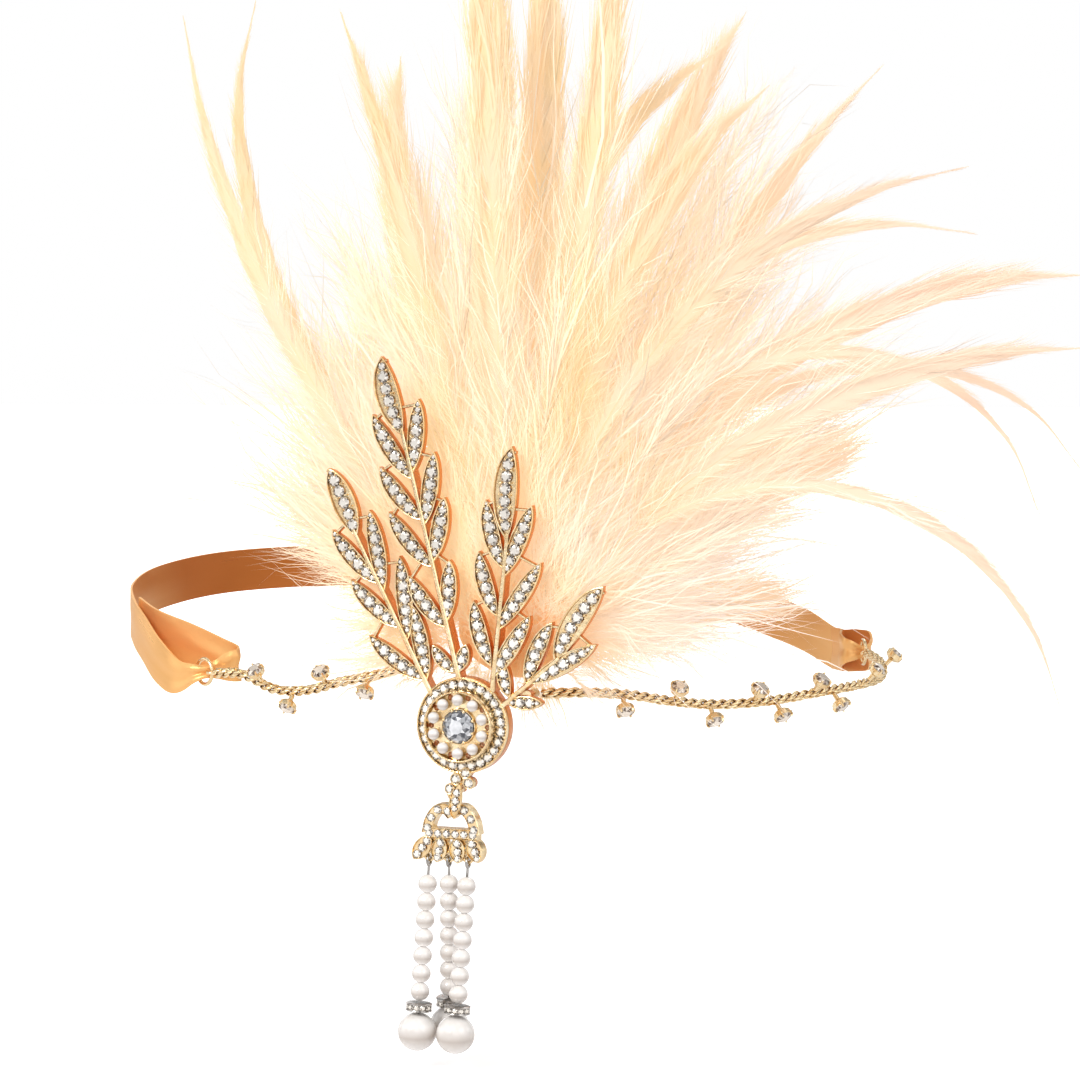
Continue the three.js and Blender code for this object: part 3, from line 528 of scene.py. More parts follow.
# a smooth curve from one value to the next, with the slopes at both
def easeBetween(t, first, firstSlope, second, secondSlope):
    return ((2 * t ** 3 - 3 * t ** 2 + 1) * first + (t ** 3 - 2 * t ** 2 + t) * firstSlope
            + (3 * t ** 2 - 2 * t ** 3) * second + (t ** 3 - t ** 2) * secondSlope)


def loopPoint(angle):
    angles, reaches = loopOutline.T
    slopes = np.empty(len(angles))
    slopes[1:-1] = (reaches[2:] - reaches[:-2]) / (angles[2:] - angles[:-2])
    slopes[0] = (reaches[1] - reaches[0]) / (angles[1] - angles[0])
    slopes[-1] = (reaches[-1] - reaches[-2]) / (angles[-1] - angles[-2])
    i = int(np.clip(np.searchsorted(angles, angle) - 1, 0, len(angles) - 2))
    span = angles[i + 1] - angles[i]
    reach = easeBetween((angle - angles[i]) / span, reaches[i], span * slopes[i], reaches[i + 1],
                        span * slopes[i + 1])
    turn = math.radians(angle)
    return np.array([loopShift + reach * math.sin(turn), -reach * math.cos(turn), 0.0])


def loopNormal(angle):
    ahead = loopPoint(angle + 1) - loopPoint(angle - 1)
    return unit([ahead[1], -ahead[0], 0.0])


def onLoop(angle, out, up):
    return (loopPoint(angle) + loopNormal(angle) * out + upward * up) * mm


# an even line through knots, and values that go with them
def smoothLine(knots, count, values=None, finePoints=40):
    knots = np.asarray(knots, float)
    table = knots if values is None else np.hstack([knots, np.asarray(values, float).reshape(len(knots), -1)])
    padded = np.vstack([2 * table[0] - table[1], table, 2 * table[-1] - table[-2]])
    gaps = np.maximum(np.linalg.norm(np.diff(padded[:, :3], axis=0), axis=1), 1e-9) ** 0.5
    t = np.linspace(0, 1, finePoints, endpoint=False)[:, None]
    fine = []
    for i in range(1, len(padded) - 2):
        p0, p1, p2, p3 = padded[i - 1:i + 3]
        a, b, c = gaps[i - 1:i + 2]
        slope1 = ((p1 - p0) / a - (p2 - p0) / (a + b) + (p2 - p1) / b) * b
        slope2 = ((p2 - p1) / b - (p3 - p1) / (b + c) + (p3 - p2) / c) * b
        fine.append(easeBetween(t, p1, slope1, p2, slope2))
    fine = np.vstack(fine + [table[-1:]])
    run = np.concatenate([[0], np.cumsum(np.linalg.norm(np.diff(fine[:, :3], axis=0), axis=1))])
    wanted = np.linspace(0, run[-1], count)
    even = np.stack([np.interp(wanted, run, fine[:, k]) for k in range(fine.shape[1])], -1)
    return even[:, :3], even[:, 3:], run[-1]


# shapes that repeat; first the small cut stone, one across
stoneLook = {"seed": 5, "glints": [0.0, 0.2, 0.5, 0.8, 1.0], "chances": [0.2, 0.18, 0.2, 0.22, 0.2],
             "rings": [(8, 0.54, 0.42, 0.5), (8, 0.8, 0.28, 0.0), (16, 1.0, 0.04, 0.0),
                       (8, 0.5, -0.42, 0.5)]}  # facets, radius, height, shift


# each facet gets a painted glint level, at random
def addGlints(mesh, look):
    values = np.random.default_rng(look["seed"]).choice(look["glints"], len(mesh.polygons), p=look["chances"])
    addValues(mesh, "glint", values, "FACE")


def makeStoneShape():
    points = []
    for count, radius, height, shift in stoneLook["rings"]:
        points += [(radius * math.cos(turn), radius * math.sin(turn), height) for turn in evenTurns(count, shift)]
    table, crown, girdle, base = 0, 8, 16, 32  # where each ring starts
    faces = [tuple(range(8)), tuple(range(base + 7, base - 1, -1))]
    for i in range(8):
        before, after = (i - 1) % 8, (i + 1) % 8
        edge = girdle + 2 * i
        edgeBefore, edgeAfter = girdle + (2 * i - 1) % 16, girdle + (2 * i + 2) % 16
        faces += [(table + before, crown + i, table + i), (table + i, crown + i, edge + 1, crown + after),
                  (crown + i, edgeBefore, edge), (crown + i, edge, edge + 1), (base + i, edgeAfter, edge + 1),
                  (base + before, base + i, edge), (base + i, edge + 1, edge)]
    mesh = bpy.data.meshes.new("cutStone")
    mesh.from_pydata(points, [], faces)
    turnOutward(mesh, split=True)
    addGlints(mesh, stoneLook)
    return newObject("cutStone", mesh)


def makeBallShape(name, sides, rings):
    mesh = bpy.data.meshes.new(name)
    work = bmesh.new()
    bmesh.ops.create_uvsphere(work, u_segments=sides, v_segments=rings, radius=1.0)
    work.to_mesh(mesh)
    work.free()
    mesh.shade_smooth()
    return newObject(name, mesh)


stoneShape = makeStoneShape()
pearlShape = makeBallShape("pearlBall", 32, 20)
grainShape = makeBallShape("grainBall", 8, 5)


def placeRows(at, aim, side, size):
    at, size = np.asarray(at, float).reshape(-1, 3), np.asarray(size, float)
    columns = {"at": at, "aim": aim, "side": side, "size": size[:, None] if size.ndim else size}
    return {label: np.broadcast_to(np.asarray(values, float), at.shape) for label, values in columns.items()}


# spots: across, depth, up and radius on the casting
def spotRows(spots):
    table = np.array(spots)
    return placeRows(onCasting(*table[:, :3].T), castingOut, castingSide, table[:, 3] * mm)


def pearlMesh(name, places, radius):
    return setOnPoints(name, pearlShape, placeRows(places, castingOut, castingSide, radius * mm), pearlLustre)


# the casting: leaf sprays, stems, medallion and crest
leafLook = {"back": -0.4, "stemBack": 1.2, "face": -2.4, "floor": -1.7, "rim": 0.36, "leftBow": 0.26,
            "rightBow": -0.05, "steps": 14, "stone": 1.25, "stoneDepth": 0.28, "grain": 0.24, "grainDepth": 0.02,
            "clearOfMedallion": 10.2}
stemLook = {"width": 1.0, "taper": 0.7, "proud": 0.25, "rootReach": 9.3}
tieLook = {"width": 0.6, "fromTip": 0.07, "shortest": 0.2, "longest": 4.5, "into": 0.3}
sprays = {"left": ((-5.8, 5.3), (-23.5, 38.4)), "tall": ((-0.6, 8.3), (-13.1, 59.3)),
          "middle": ((5.5, 5.8), (9.6, 38.4)), "right": ((7.5, 3.7), (20.1, 14.0))}  # root and top: across, up
leaves = [  # spray, distance up the stem, angle from it, length, width
    ("left", 37, 4, 15.4, 5.2), ("left", 26.1, -16, 15.4, 3.8), ("left", 16, -21, 15, 3.8),
    ("left", 3.9, -27, 15.9, 3.8), ("left", 24.2, 17, 17.3, 3.8), ("left", 13.1, 22, 17.6, 3.8),
    ("left", 4, 16, 16, 3.8), ("tall", 52, -3, 16.8, 5.2), ("tall", 42.7, -20, 16.1, 3.8),
    ("tall", 34.2, -27, 14.5, 3.8), ("tall", 24.4, -27, 15, 3.8), ("tall", 11.8, -25, 13.8, 3.8),
    ("tall", 44, 19, 15.4, 3.8), ("tall", 33, 22, 15.5, 3.8), ("tall", 25.4, 25, 13.8, 3.8),
    ("tall", 12.8, 17, 13.1, 3.8), ("tall", 2.4, -30, 7.9, 3), ("tall", 2.4, 32, 6.4, 3),
    ("middle", 32.5, -4, 19, 5.2), ("middle", 26.5, -22, 14.6, 3.8), ("middle", 16.7, -24, 14, 3.8),
    ("middle", 6.4, -23, 14.1, 3.8), ("middle", 24.7, 16, 16.2, 3.8), ("middle", 13.8, 27, 17.2, 3.8),
    ("middle", 4, 26, 15.7, 3.8), ("right", 15.8, -17, 18.8, 5.2), ("right", 7.9, -27, 14.3, 3.8),
    ("right", 8.4, 9, 17, 3.8), ("right", 3.6, -62, 8, 3), ("right", 2.4, 39, 8, 3)]


def acrossFrom(along):
    return np.array([-along[1], along[0]])


def leafOutline(base, tip, width, bow, steps):
    along = tip - base
    across = unit(acrossFrom(along))
    half = width * 2 / 3
    t = np.linspace(0, 1, steps + 1)[:, None]

    def edge(sign):
        low = base + along * 0.22 + across * (sign * half + bow)
        high = base + along * 0.82 + across * (sign * half + bow)
        return (1 - t) ** 3 * base + 3 * (1 - t) ** 2 * t * low + 3 * (1 - t) * t ** 2 * high + t ** 3 * tip

    return np.vstack([edge(1)[:-1], edge(-1)[:0:-1]])


# a plate with a rounded rim and a sunk floor
def addLeaf(shell, base, tip, width, bow, back, face, floor, rim, steps):
    length = np.linalg.norm(tip - base)
    profile = ((0, back), (0, face + 0.28), (0.08, face + 0.06), (0.2, face), (rim - 0.08, face + 0.05),
               (rim, floor))  # inset, depth
    loops = []
    for inset, depth in profile:
        start = base + (tip - base) * (2.2 * inset / length)
        end = tip - (tip - base) * (1.5 * inset / length)
        outline = leafOutline(start, end, width - 2 * inset, bow * (1 - inset / width), steps)
        loops.append(onCasting(outline[:, 0], depth, outline[:, 1]))
    addLoft(shell, loops)


def leafLine(row):
    spray, at, angle, length, width = row
    root, top = (np.array(p, float) for p in sprays[spray])
    stem = unit(top - root)
    base = root + stem * at
    turn = -math.radians(angle)
    along = stem * math.cos(turn) + acrossFrom(stem) * math.sin(turn)
    bow = (leafLook["leftBow"] if angle < 0 else leafLook["rightBow"]) * width
    return base, base + along * length, bow


# stones in a row along a leaf, each as wide as the leaf is there
def leafStones(base, tip, width, bow, depth, rim, largest, first=0.1, last=0.985, smallest=0.5):
    length = np.linalg.norm(tip - base)
    along = (tip - base) / length

    def fit(share):
        return float(np.clip(width * 2 * share * (1 - share) - rim * 0.8, smallest, largest))

    spots = []
    share = first
    while True:
        middle = share + fit(share + 0.05) / length
        middle = share + fit(middle) / length
        reach = fit(middle)
        if middle + reach / length > last:
            return spots
        place = base + along * (middle * length) + acrossFrom(along) * (bow * 3 * middle * (1 - middle))
        spots.append((place[0], depth, place[1], reach))
        share = middle + reach / length


castingShell = newShell()
stoneSpots, grainSpots = [], []  # across, depth, up, radius
for row in leaves:
    base, tip, bow = leafLine(row)
    addLeaf(castingShell, base, tip, row[4], bow,
            *(leafLook[key] for key in ("back", "face", "floor", "rim", "steps")))
    spots = leafStones(base, tip, row[4], bow, leafLook["face"] + leafLook["stoneDepth"], leafLook["rim"],
                       leafLook["stone"])
    spots = [spot for spot in spots if math.hypot(spot[0], spot[2]) > leafLook["clearOfMedallion"]]
    stoneSpots += spots
    across = acrossFrom(unit(tip - base))
    for first, second in zip(spots[:-1], spots[1:]):
        between = np.array([first[0] + second[0], first[2] + second[2]]) / 2
        for sign in (-1, 1):
            place = between + across * sign * (first[3] + second[3]) / 2 * 0.82
            grainSpots.append((place[0], leafLook["face"] + leafLook["grainDepth"], place[1], leafLook["grain"]))


# a profile of (sideways, depth) carried to a place on the casting
def carryProfile(profile, place, across):
    return np.array([onCasting(place[0] + across[0] * a, depth, place[1] + across[1] * a) for a, depth in profile])


def addBar(shell, start, end, width, back, face, taper=1.0):
    start, end = np.array(start, float), np.array(end, float)
    across = acrossFrom(unit(end - start))
    loops = []
    for place, half in ((start, width / 2), (end, width / 2 * taper)):
        profile = ((-half, back), (-half, face + 0.2), (-half * 0.6, face), (half * 0.6, face), (half, face + 0.2),
                   (half, back))
        loops.append(carryProfile(profile, place, across))
    addLoft(shell, loops)


for root, top in sprays.values():
    root, top = np.array(root), np.array(top)
    root = root * max(1, stemLook["rootReach"] / np.linalg.norm(root))
    addBar(castingShell, root, top + unit(top - root), stemLook["width"], leafLook["stemBack"],
           leafLook["face"] - stemLook["proud"], stemLook["taper"])

# a short bar ties the tip of each side leaf to the leaf above it
for spray in sprays:
    own = [row for row in leaves if row[0] == spray]
    top = [row for row in own if row[4] > 5]
    for sign in (-1, 1):
        column = sorted((row for row in own if row[2] * sign > 0 and row[3] > 10), key=lambda row: row[1])
        for low, high in zip(column, column[1:] + top):
            base, tip, bow = leafLine(low)
            start = tip + (base - tip) * tieLook["fromTip"]
            highBase, highTip, highBow = leafLine(high)
            outline = leafOutline(highBase, highTip, high[4], highBow, 20)
            end = outline[np.argmin(np.linalg.norm(outline - start, axis=1))]
            if tieLook["shortest"] < np.linalg.norm(end - start) < tieLook["longest"]:
                addBar(castingShell, start, end + unit(end - start) * tieLook["into"], tieLook["width"],
                       leafLook["back"] - 0.2, leafLook["face"] + 0.5)

medallionLook = {"sides": 78, "haloStones": 26, "haloRing": 8.42, "haloStone": 1.04, "haloDepth": -2.5, "pearls": 10,
                 "pearlRing": 5.5, "pearl": 1.2, "pearlDepth": -5.05, "holeRing": 6.15, "hole": 0.62,
                 "holeSides": 14, "holeReach": 8}
medallionProfile = [(0.01, 1.2), (9.6, 1.2), (9.9, 1.0), (10, 0.7), (10, -2.35), (9.93, -2.6), (9.75, -2.72),
                    (9.57, -2.66), (9.47, -2.4), (9.42, -2.0), (7.42, -2.0), (7.36, -3.1), (7.4, -4.9), (7.3, -5.25),
                    (7.12, -5.4), (6.95, -5.3), (6.85, -4.9), (6.7, -3.95), (6.4, -3.9), (3.85, -3.9), (3.75, -4.4),
                    (3.66, -4.6), (3.5, -4.6), (3.44, -4.3), (3.4, -3.4), (0.01, -3.4)]  # radius, depth
grainRings = [(84, 9.66, 0.2, -2.72, 0.0), (66, 7.13, 0.2, -5.38, 0.0),
              (8, 3.42, 0.36, -4.85, 0.5)]  # count, ring, radius, depth, shift
medallionShell = newShell()
addTurned(medallionShell, castingMiddle, -castingOut, medallionProfile, medallionLook["sides"])
medallion = newObject("medallion", shellMesh("medallion", medallionShell, castGold))
holeShell = newShell()
holeProfile = [(medallionLook["hole"], side * medallionLook["holeReach"]) for side in (-1, 1)]
for turn in evenTurns(medallionLook["pearls"], 0.5):
    spot = onCasting(medallionLook["holeRing"] * math.sin(turn), 0, medallionLook["holeRing"] * math.cos(turn))
    addTurned(holeShell, spot, castingOut, holeProfile, medallionLook["holeSides"])
holes = newObject("medallionHoles", shellMesh("medallionHoles", holeShell, castGold))
pierce = medallion.modifiers.new("pierce", "BOOLEAN")
pierce.object, pierce.operation, pierce.solver = holes, "DIFFERENCE", "EXACT"
depsgraph = bpy.context.evaluated_depsgraph_get()
medallionMesh = bpy.data.meshes.new_from_object(medallion.evaluated_get(depsgraph), depsgraph=depsgraph)
medallionMesh.set_sharp_from_angle(angle=math.radians(sharpFold))
bpy.data.objects.remove(medallion)
bpy.data.objects.remove(holes)


def ringSpots(count, ring, radius, depth, shift=0.0):
    return [(ring * math.sin(turn), depth, ring * math.cos(turn), radius) for turn in evenTurns(count, shift)]


stoneSpots += ringSpots(*(medallionLook[key] for key in ("haloStones", "haloRing", "haloStone", "haloDepth")))
for row in grainRings:
    grainSpots += ringSpots(*row)

# the crest: cups below the medallion, a leaf in front of the link, and the eyelet of the tassel
pivot = {"across": -2.3, "depth": -1.6, "up": -14.4}
eyeletLook = {"radius": 0.95, "wire": 0.33}
crestCups = [(0.9, -9.7, 1.1), (-1.2, -11.0, 1.2), (1.6, -11.8, 1.2), (-2.5, -13.1, 1.1)]  # across, up, radius
cupProfile = [(0.8, 0.2), (1, 0.7), (1.06, 2.9), (0.98, 3.15), (0.86, 3.1), (0.8, 2.6)]  # share of the radius, height
crestLook = {"cupSides": 20, "cupStone": 0.88, "cupStoneDepth": -2.95, "barFrom": (0.2, -8.6), "barTo": -13.4,
             "barWidth": 2.4, "barFace": -2.2, "leafFrom": (-0.1, -11.6), "leafTo": (-1.4, -19.0), "leafWidth": 2.6,
             "leafDepths": (-3.75, -4.5, -4.1), "leafRim": 0.3, "leafSteps": 10, "pegAt": (-0.4, -13.2),
             "peg": [(0.8, 0.5), (0.8, 4.0)], "pegSides": 16}
crestStones = [(-0.45, -4.35, -13.7, 0.85), (-0.75, -4.35, -15.4, 0.85), (-1.0, -4.35, -16.95, 0.7)]
for across, up, radius in crestCups:
    profile = [(radius * share, height) for share, height in cupProfile]
    addTurned(castingShell, onCasting(across, 0, up), castingOut, profile, crestLook["cupSides"])
    stoneSpots.append((across, crestLook["cupStoneDepth"], up, radius * crestLook["cupStone"]))
addBar(castingShell, crestLook["barFrom"], (pivot["across"] + 0.4, crestLook["barTo"]), crestLook["barWidth"], 0.0,
       crestLook["barFace"])
addLeaf(castingShell, np.array(crestLook["leafFrom"]), np.array(crestLook["leafTo"]), crestLook["leafWidth"], 0,
        *crestLook["leafDepths"], crestLook["leafRim"], crestLook["leafSteps"])
pegAcross, pegUp = crestLook["pegAt"]
addTurned(castingShell, onCasting(pegAcross, 0, pegUp), castingOut, crestLook["peg"], crestLook["pegSides"])
stoneSpots += crestStones
addRing(castingShell, onCasting(pivot["across"], pivot["depth"], pivot["up"]), castingOut, *eyeletLook.values())

# posts at the back that the chains start from
chainPosts = {"left": (-13, 11.5), "right": (13.6, 6.6)}  # across, up
postProfile, postSides = [(1.0, -1.2), (1.0, 3.9), (0.8, 4.2)], 20
for across, up in chainPosts.values():
    addTurned(castingShell, onCasting(across, 0, up), -castingOut, postProfile, postSides)

castingMesh = shellMesh("leafCasting", castingShell, castGold)
grainMesh = setOnPoints("castingGrains", grainShape, spotRows(grainSpots), castGold)
dress(joinMeshes("leafCasting", [castingMesh, medallionMesh, grainMesh]), "headpiece", "gold", "leaf_medallion")
paveMesh = setOnPoints("castingStones", stoneShape, spotRows(stoneSpots), paveGlass, turn=fullTurn, seed=3)
dress(newObject("castingStones", paveMesh), "headpiece", "crystal")

turns = evenTurns(medallionLook["pearls"])
pearlSpots = onCasting(medallionLook["pearlRing"] * np.sin(turns), medallionLook["pearlDepth"],
                       medallionLook["pearlRing"] * np.cos(turns))
medallionPearls = newObject("medallionPearls", pearlMesh("medallionPearls", pearlSpots, medallionLook["pearl"]))
dress(medallionPearls, "headpiece", "pearl", *[f"medallion_pearl_{i + 1}" for i in range(medallionLook["pearls"])])

# the centre stone: rings of small facets from the table to the girdle
centreLook = {"depth": -4.75, "seed": 21, "glints": [0.02, 0.2, 0.45, 0.7, 1.0],
              "chances": [0.24, 0.24, 0.22, 0.14, 0.16],
              "rings": [(1.45, 1.25, 12, 0.5), (2.2, 1.0, 12, 0.0), (2.85, 0.55, 24, 0.5), (3.36, 0.08, 24, 0.0),
                        (3.36, -0.1, 24, 0.5), (1.5, -1.1, 12, 0.0)]}  # radius, height, facets, shift


def makeCentreStone():
    work = bmesh.new()
    rings = []
    for radius, height, count, shift in centreLook["rings"]:
        places = [onCasting(radius * math.sin(turn), centreLook["depth"] - height, radius * math.cos(turn))
                  for turn in evenTurns(count, shift)]
        rings.append([work.verts.new(tuple(place)) for place in places])
    work.faces.new(rings[0])
    work.faces.new(rings[-1])
    for pair in zip(rings[:-1], rings[1:]):
        loopEdges = []
        for ring in pair:
            for ends in zip(ring, ring[1:] + ring[:1]):
                loopEdges.append(work.edges.get(ends) or work.edges.new(ends))
        bmesh.ops.bridge_loops(work, edges=loopEdges)
    turnFaces(work, split=True)
    mesh = bpy.data.meshes.new("centreStone")
    work.to_mesh(mesh)
    work.free()
    addGlints(mesh, centreLook)
    mesh.materials.append(centreGlass)
    return newObject("centreStone", mesh)


dress(makeCentreStone(), "headpiece", "crystal", "centre_stone")

# the tassel
tasselLook = {"linkRadius": 1.6, "linkWire": 0.3, "capDepth": 2.8, "barUp": -8.1, "barHeight": 2.2, "barWidth": 11.4,
              "barStones": 6, "barStone": 0.84, "armWidth": 2.2, "armStones": 4, "armStone": 0.9, "leafFloor": 0.6,
              "leafRim": 0.3, "leafSteps": 10, "leafStone": 0.9, "leafStoneDepth": 0.2, "eyeletUp": -13.0}
capLeaves = [((-4.4, -8.6), (-8.4, -13.8), 3.6), ((-2, -8.6), (-3.3, -14.2), 3.6), ((1.2, -8.6), (1.4, -14.2), 3.6),
             ((4, -8.6), (6, -13.8), 3.6)]  # from, to: across and up from the pivot; width
capArms = [[(0.1, -4.2), (-1.3, -3.0), (-2.9, -3.1), (-4.7, -5.4), (-5.4, -8.2)],
           [(-0.1, -4.2), (1.3, -3.0), (2.9, -3.0), (4.6, -5.3), (5.2, -8.2)]]
strands = [(-5.2, -1.8, -2.6), (-0.9, -1.9, 5.0), (3.4, -2.0, -2.4)]  # eyelet, end across, end depth
strandLook = {"ring": 1.0, "wire": 0.3, "core": 0.28, "stem": 1.9, "pearl": 2.0, "pearlShare": 0.97, "pitch": 3.75,
              "pearls": 7, "rondelle": 2.75, "rondelleHeight": 1.8, "rondelleSides": 36, "rondelleStones": 11,
              "rondelleStone": 0.66, "groove": 0.86, "endPearl": 4.0, "gap": 0.3}
rondelleProfile = [(0.45, -1), (0.9, -1), (1, -0.85), (0.97, -0.6), (0.86, -0.5), (0.86, 0.5), (0.97, 0.6), (1, 0.85),
                   (0.9, 1), (0.45, 1)]  # shares of the radius and of half the height
looseTurn = 6.28  # stones in cups and rondelles sit at any turn


def onTassel(across, depth, up):
    return onCasting(np.asarray(across, float) + pivot["across"], np.asarray(depth, float) + pivot["depth"],
                     np.asarray(up, float) + pivot["up"])


# a bar that follows a bent line, with stones set along it
def addArm(shell, line, width, back, face, stones, radius):
    line = smoothLine(np.hstack([np.array(line, float), np.zeros((len(line), 1))]), 13)[0][:, :2]
    ahead = unit(np.gradient(line, axis=0))
    half = width / 2
    profile = ((-half, back), (-half, face + 0.15), (-half + 0.15, face), (-half + 0.3, face + 0.25),
               (half - 0.3, face + 0.25), (half - 0.15, face), (half, face + 0.15), (half, back))
    addLoft(shell, [carryProfile(profile, place, acrossFrom(along)) for place, along in zip(line, ahead)])
    shares = (np.arange(stones) + 0.5) / stones * (len(line) - 1)
    spots = np.stack([np.interp(shares, np.arange(len(line)), line[:, k]) for k in range(2)], -1)
    return [(spot[0], face + 0.1, spot[1], radius) for spot in spots]


capShell = newShell()
capStones = []
capOffset = np.array([pivot["across"], pivot["up"]])
capFace, capBack = pivot["depth"] - tasselLook["capDepth"] / 2, pivot["depth"] + tasselLook["capDepth"] / 2
for start, end, width in capLeaves:
    start, end = np.array(start, float) + capOffset, np.array(end, float) + capOffset
    addLeaf(capShell, start, end, width, 0, capBack, capFace, capFace + tasselLook["leafFloor"],
            tasselLook["leafRim"], tasselLook["leafSteps"])
    capStones += leafStones(start, end, width, 0, capFace + tasselLook["leafStoneDepth"], tasselLook["leafRim"],
                            tasselLook["leafStone"])
for line in capArms:
    capStones += addArm(capShell, np.array(line, float) + capOffset, tasselLook["armWidth"], capBack, capFace,
                        tasselLook["armStones"], tasselLook["armStone"])
barLine = [(pivot["across"] + share * tasselLook["barWidth"] / 2, pivot["up"] + tasselLook["barUp"])
           for share in (-1, 0, 1)]
capStones += addArm(capShell, barLine, tasselLook["barHeight"], capBack + 0.1, capFace - 0.1,
                    tasselLook["barStones"], tasselLook["barStone"])
addRing(capShell, onTassel(0, 0, -2 * tasselLook["linkRadius"]), castingOut, *eyeletLook.values())
for eyelet, endAcross, endDepth in strands:
    addRing(capShell, onTassel(eyelet, 0, tasselLook["eyeletUp"]), castingOut, *eyeletLook.values())
dress(newObject("tasselCap", shellMesh("tasselCap", capShell, chainGold)), "tassel", "gold", "tassel_cap")
capStoneMesh = setOnPoints("tasselStones", stoneShape, spotRows(capStones), paveGlass, turn=fullTurn, seed=8)
dress(newObject("tasselStones", capStoneMesh), "tassel", "crystal")

linkShell = newShell()
addRing(linkShell, onTassel(0, 0, -tasselLook["linkRadius"]), castingSide, tasselLook["linkRadius"],
        tasselLook["linkWire"])
dress(newObject("tasselLink", shellMesh("tasselLink", linkShell, chainGold)), "tassel", "gold", "tassel_link")

# how far down each string its pearls, rondelle and end pearl sit
firstDown = 2 * strandLook["ring"] + strandLook["stem"] + strandLook["pearl"]
lastDown = firstDown + (strandLook["pearls"] - 1) * strandLook["pitch"]
rondelleDown = lastDown + strandLook["pearl"] + strandLook["gap"] + strandLook["rondelleHeight"] / 2
endDown = rondelleDown + strandLook["rondelleHeight"] / 2 + strandLook["gap"] + strandLook["endPearl"]
wireDowns = np.linspace(2 * strandLook["ring"] - 0.1, endDown - strandLook["endPearl"] + 0.3, 12)
rondelleRows = [(strandLook["rondelle"] * wide, strandLook["rondelleHeight"] / 2 * high)
                for wide, high in rondelleProfile]
wireShell, rondelleShell = newShell(), newShell()
smallPearls, endPearls, rondelleStones, rondelleAims = [], [], [], []
for eyelet, endAcross, endDepth in strands:
    hang = unit([endAcross, endDepth, -endDown])
    eye = np.array([eyelet, 0, tasselLook["eyeletUp"]])

    def downString(down):
        return onTassel(*(eye + hang * down))

    hangOut = unit(downString(1) - downString(0))
    smallPearls += [downString(firstDown + i * strandLook["pitch"]) for i in range(strandLook["pearls"])]
    endPearls.append(downString(endDown))
    addRing(wireShell, downString(strandLook["ring"]), castingSide, strandLook["ring"], strandLook["wire"])
    addTube(wireShell, [downString(down) for down in wireDowns], strandLook["core"] * mm)
    addTurned(rondelleShell, downString(rondelleDown), hangOut, rondelleRows, strandLook["rondelleSides"])
    sideways = unit(np.cross(hangOut, castingOut))
    front = np.cross(sideways, hangOut)
    for turn in evenTurns(strandLook["rondelleStones"]):
        out = sideways * math.cos(turn) + front * math.sin(turn)
        rondelleStones.append(downString(rondelleDown) + out * strandLook["rondelle"] * mm * strandLook["groove"])
        rondelleAims.append(out)
strandPearls = pearlMesh("strandPearls", smallPearls, strandLook["pearl"] * strandLook["pearlShare"])
strandPiece = joinMeshes("pearlStrands", [strandPearls, shellMesh("strandWires", wireShell, wireSilver)])
dress(strandPiece, "tassel", "pearl", "pearl_strand_1", "pearl_strand_2", "pearl_strand_3")
endPiece = newObject("endPearls", pearlMesh("endPearls", endPearls, strandLook["endPearl"]))
dress(endPiece, "tassel", "pearl", "end_pearl_1", "end_pearl_2", "end_pearl_3")


# stones that each look their own way
def aimedStones(name, places, aims, radius, finish, seed):
    aims = np.array(aims)
    rows = placeRows(places, aims, np.cross(aims, upward), radius * mm)
    return setOnPoints(name, stoneShape, rows, finish, turn=looseTurn, seed=seed)


rondellePiece = joinMeshes("crystalRondelles", [
    shellMesh("crystalRondelles", rondelleShell, wireSilver),
    aimedStones("rondelleStones", rondelleStones, rondelleAims, strandLook["rondelleStone"], paveGlass, 4)])
dress(rondellePiece, "tassel", "crystal", "crystal_rondelle_1", "crystal_rondelle_2", "crystal_rondelle_3")

# rope chains of twisted wires, and the rings at their ends
ringPlaces = {"left": (-41, -0.2), "right": (93, -0.8)}  # angle on the loop, height
ringLook = {"radius": 2.75, "wire": 0.42, "steps": 40, "sides": 12}
chainLook = {"strands": 3, "wires": 3, "step": 0.32, "pitch": 7.2, "strandReach": 0.64, "wirePitch": 3.0,
             "wireReach": 0.29, "wire": 0.26, "wireSides": 6, "eye": 1.15, "eyeWire": 0.36, "creaseShade": (0.5, 0.9),
             "startOut": 1.7, "startBack": 2.3}
chainKnots = {  # angle on the loop, distance outside it, height
    "left": [(-10, 2, 2.4), (-16, 1, 0.2), (-22, 0, -2.2), (-27, 0, -2.4), (-33, 0, 0.2)],
    "right": [(16, 7.4, -0.4), (22, 4.4, -1.4), (28, 2, -3.2), (35, 0, -4.6), (43, 0, -4.6), (52, 0, -3.7),
              (61, 0, -3.2), (70, 0, -2.9), (79, 0, -1.4), (86, 0, -0.9)]}


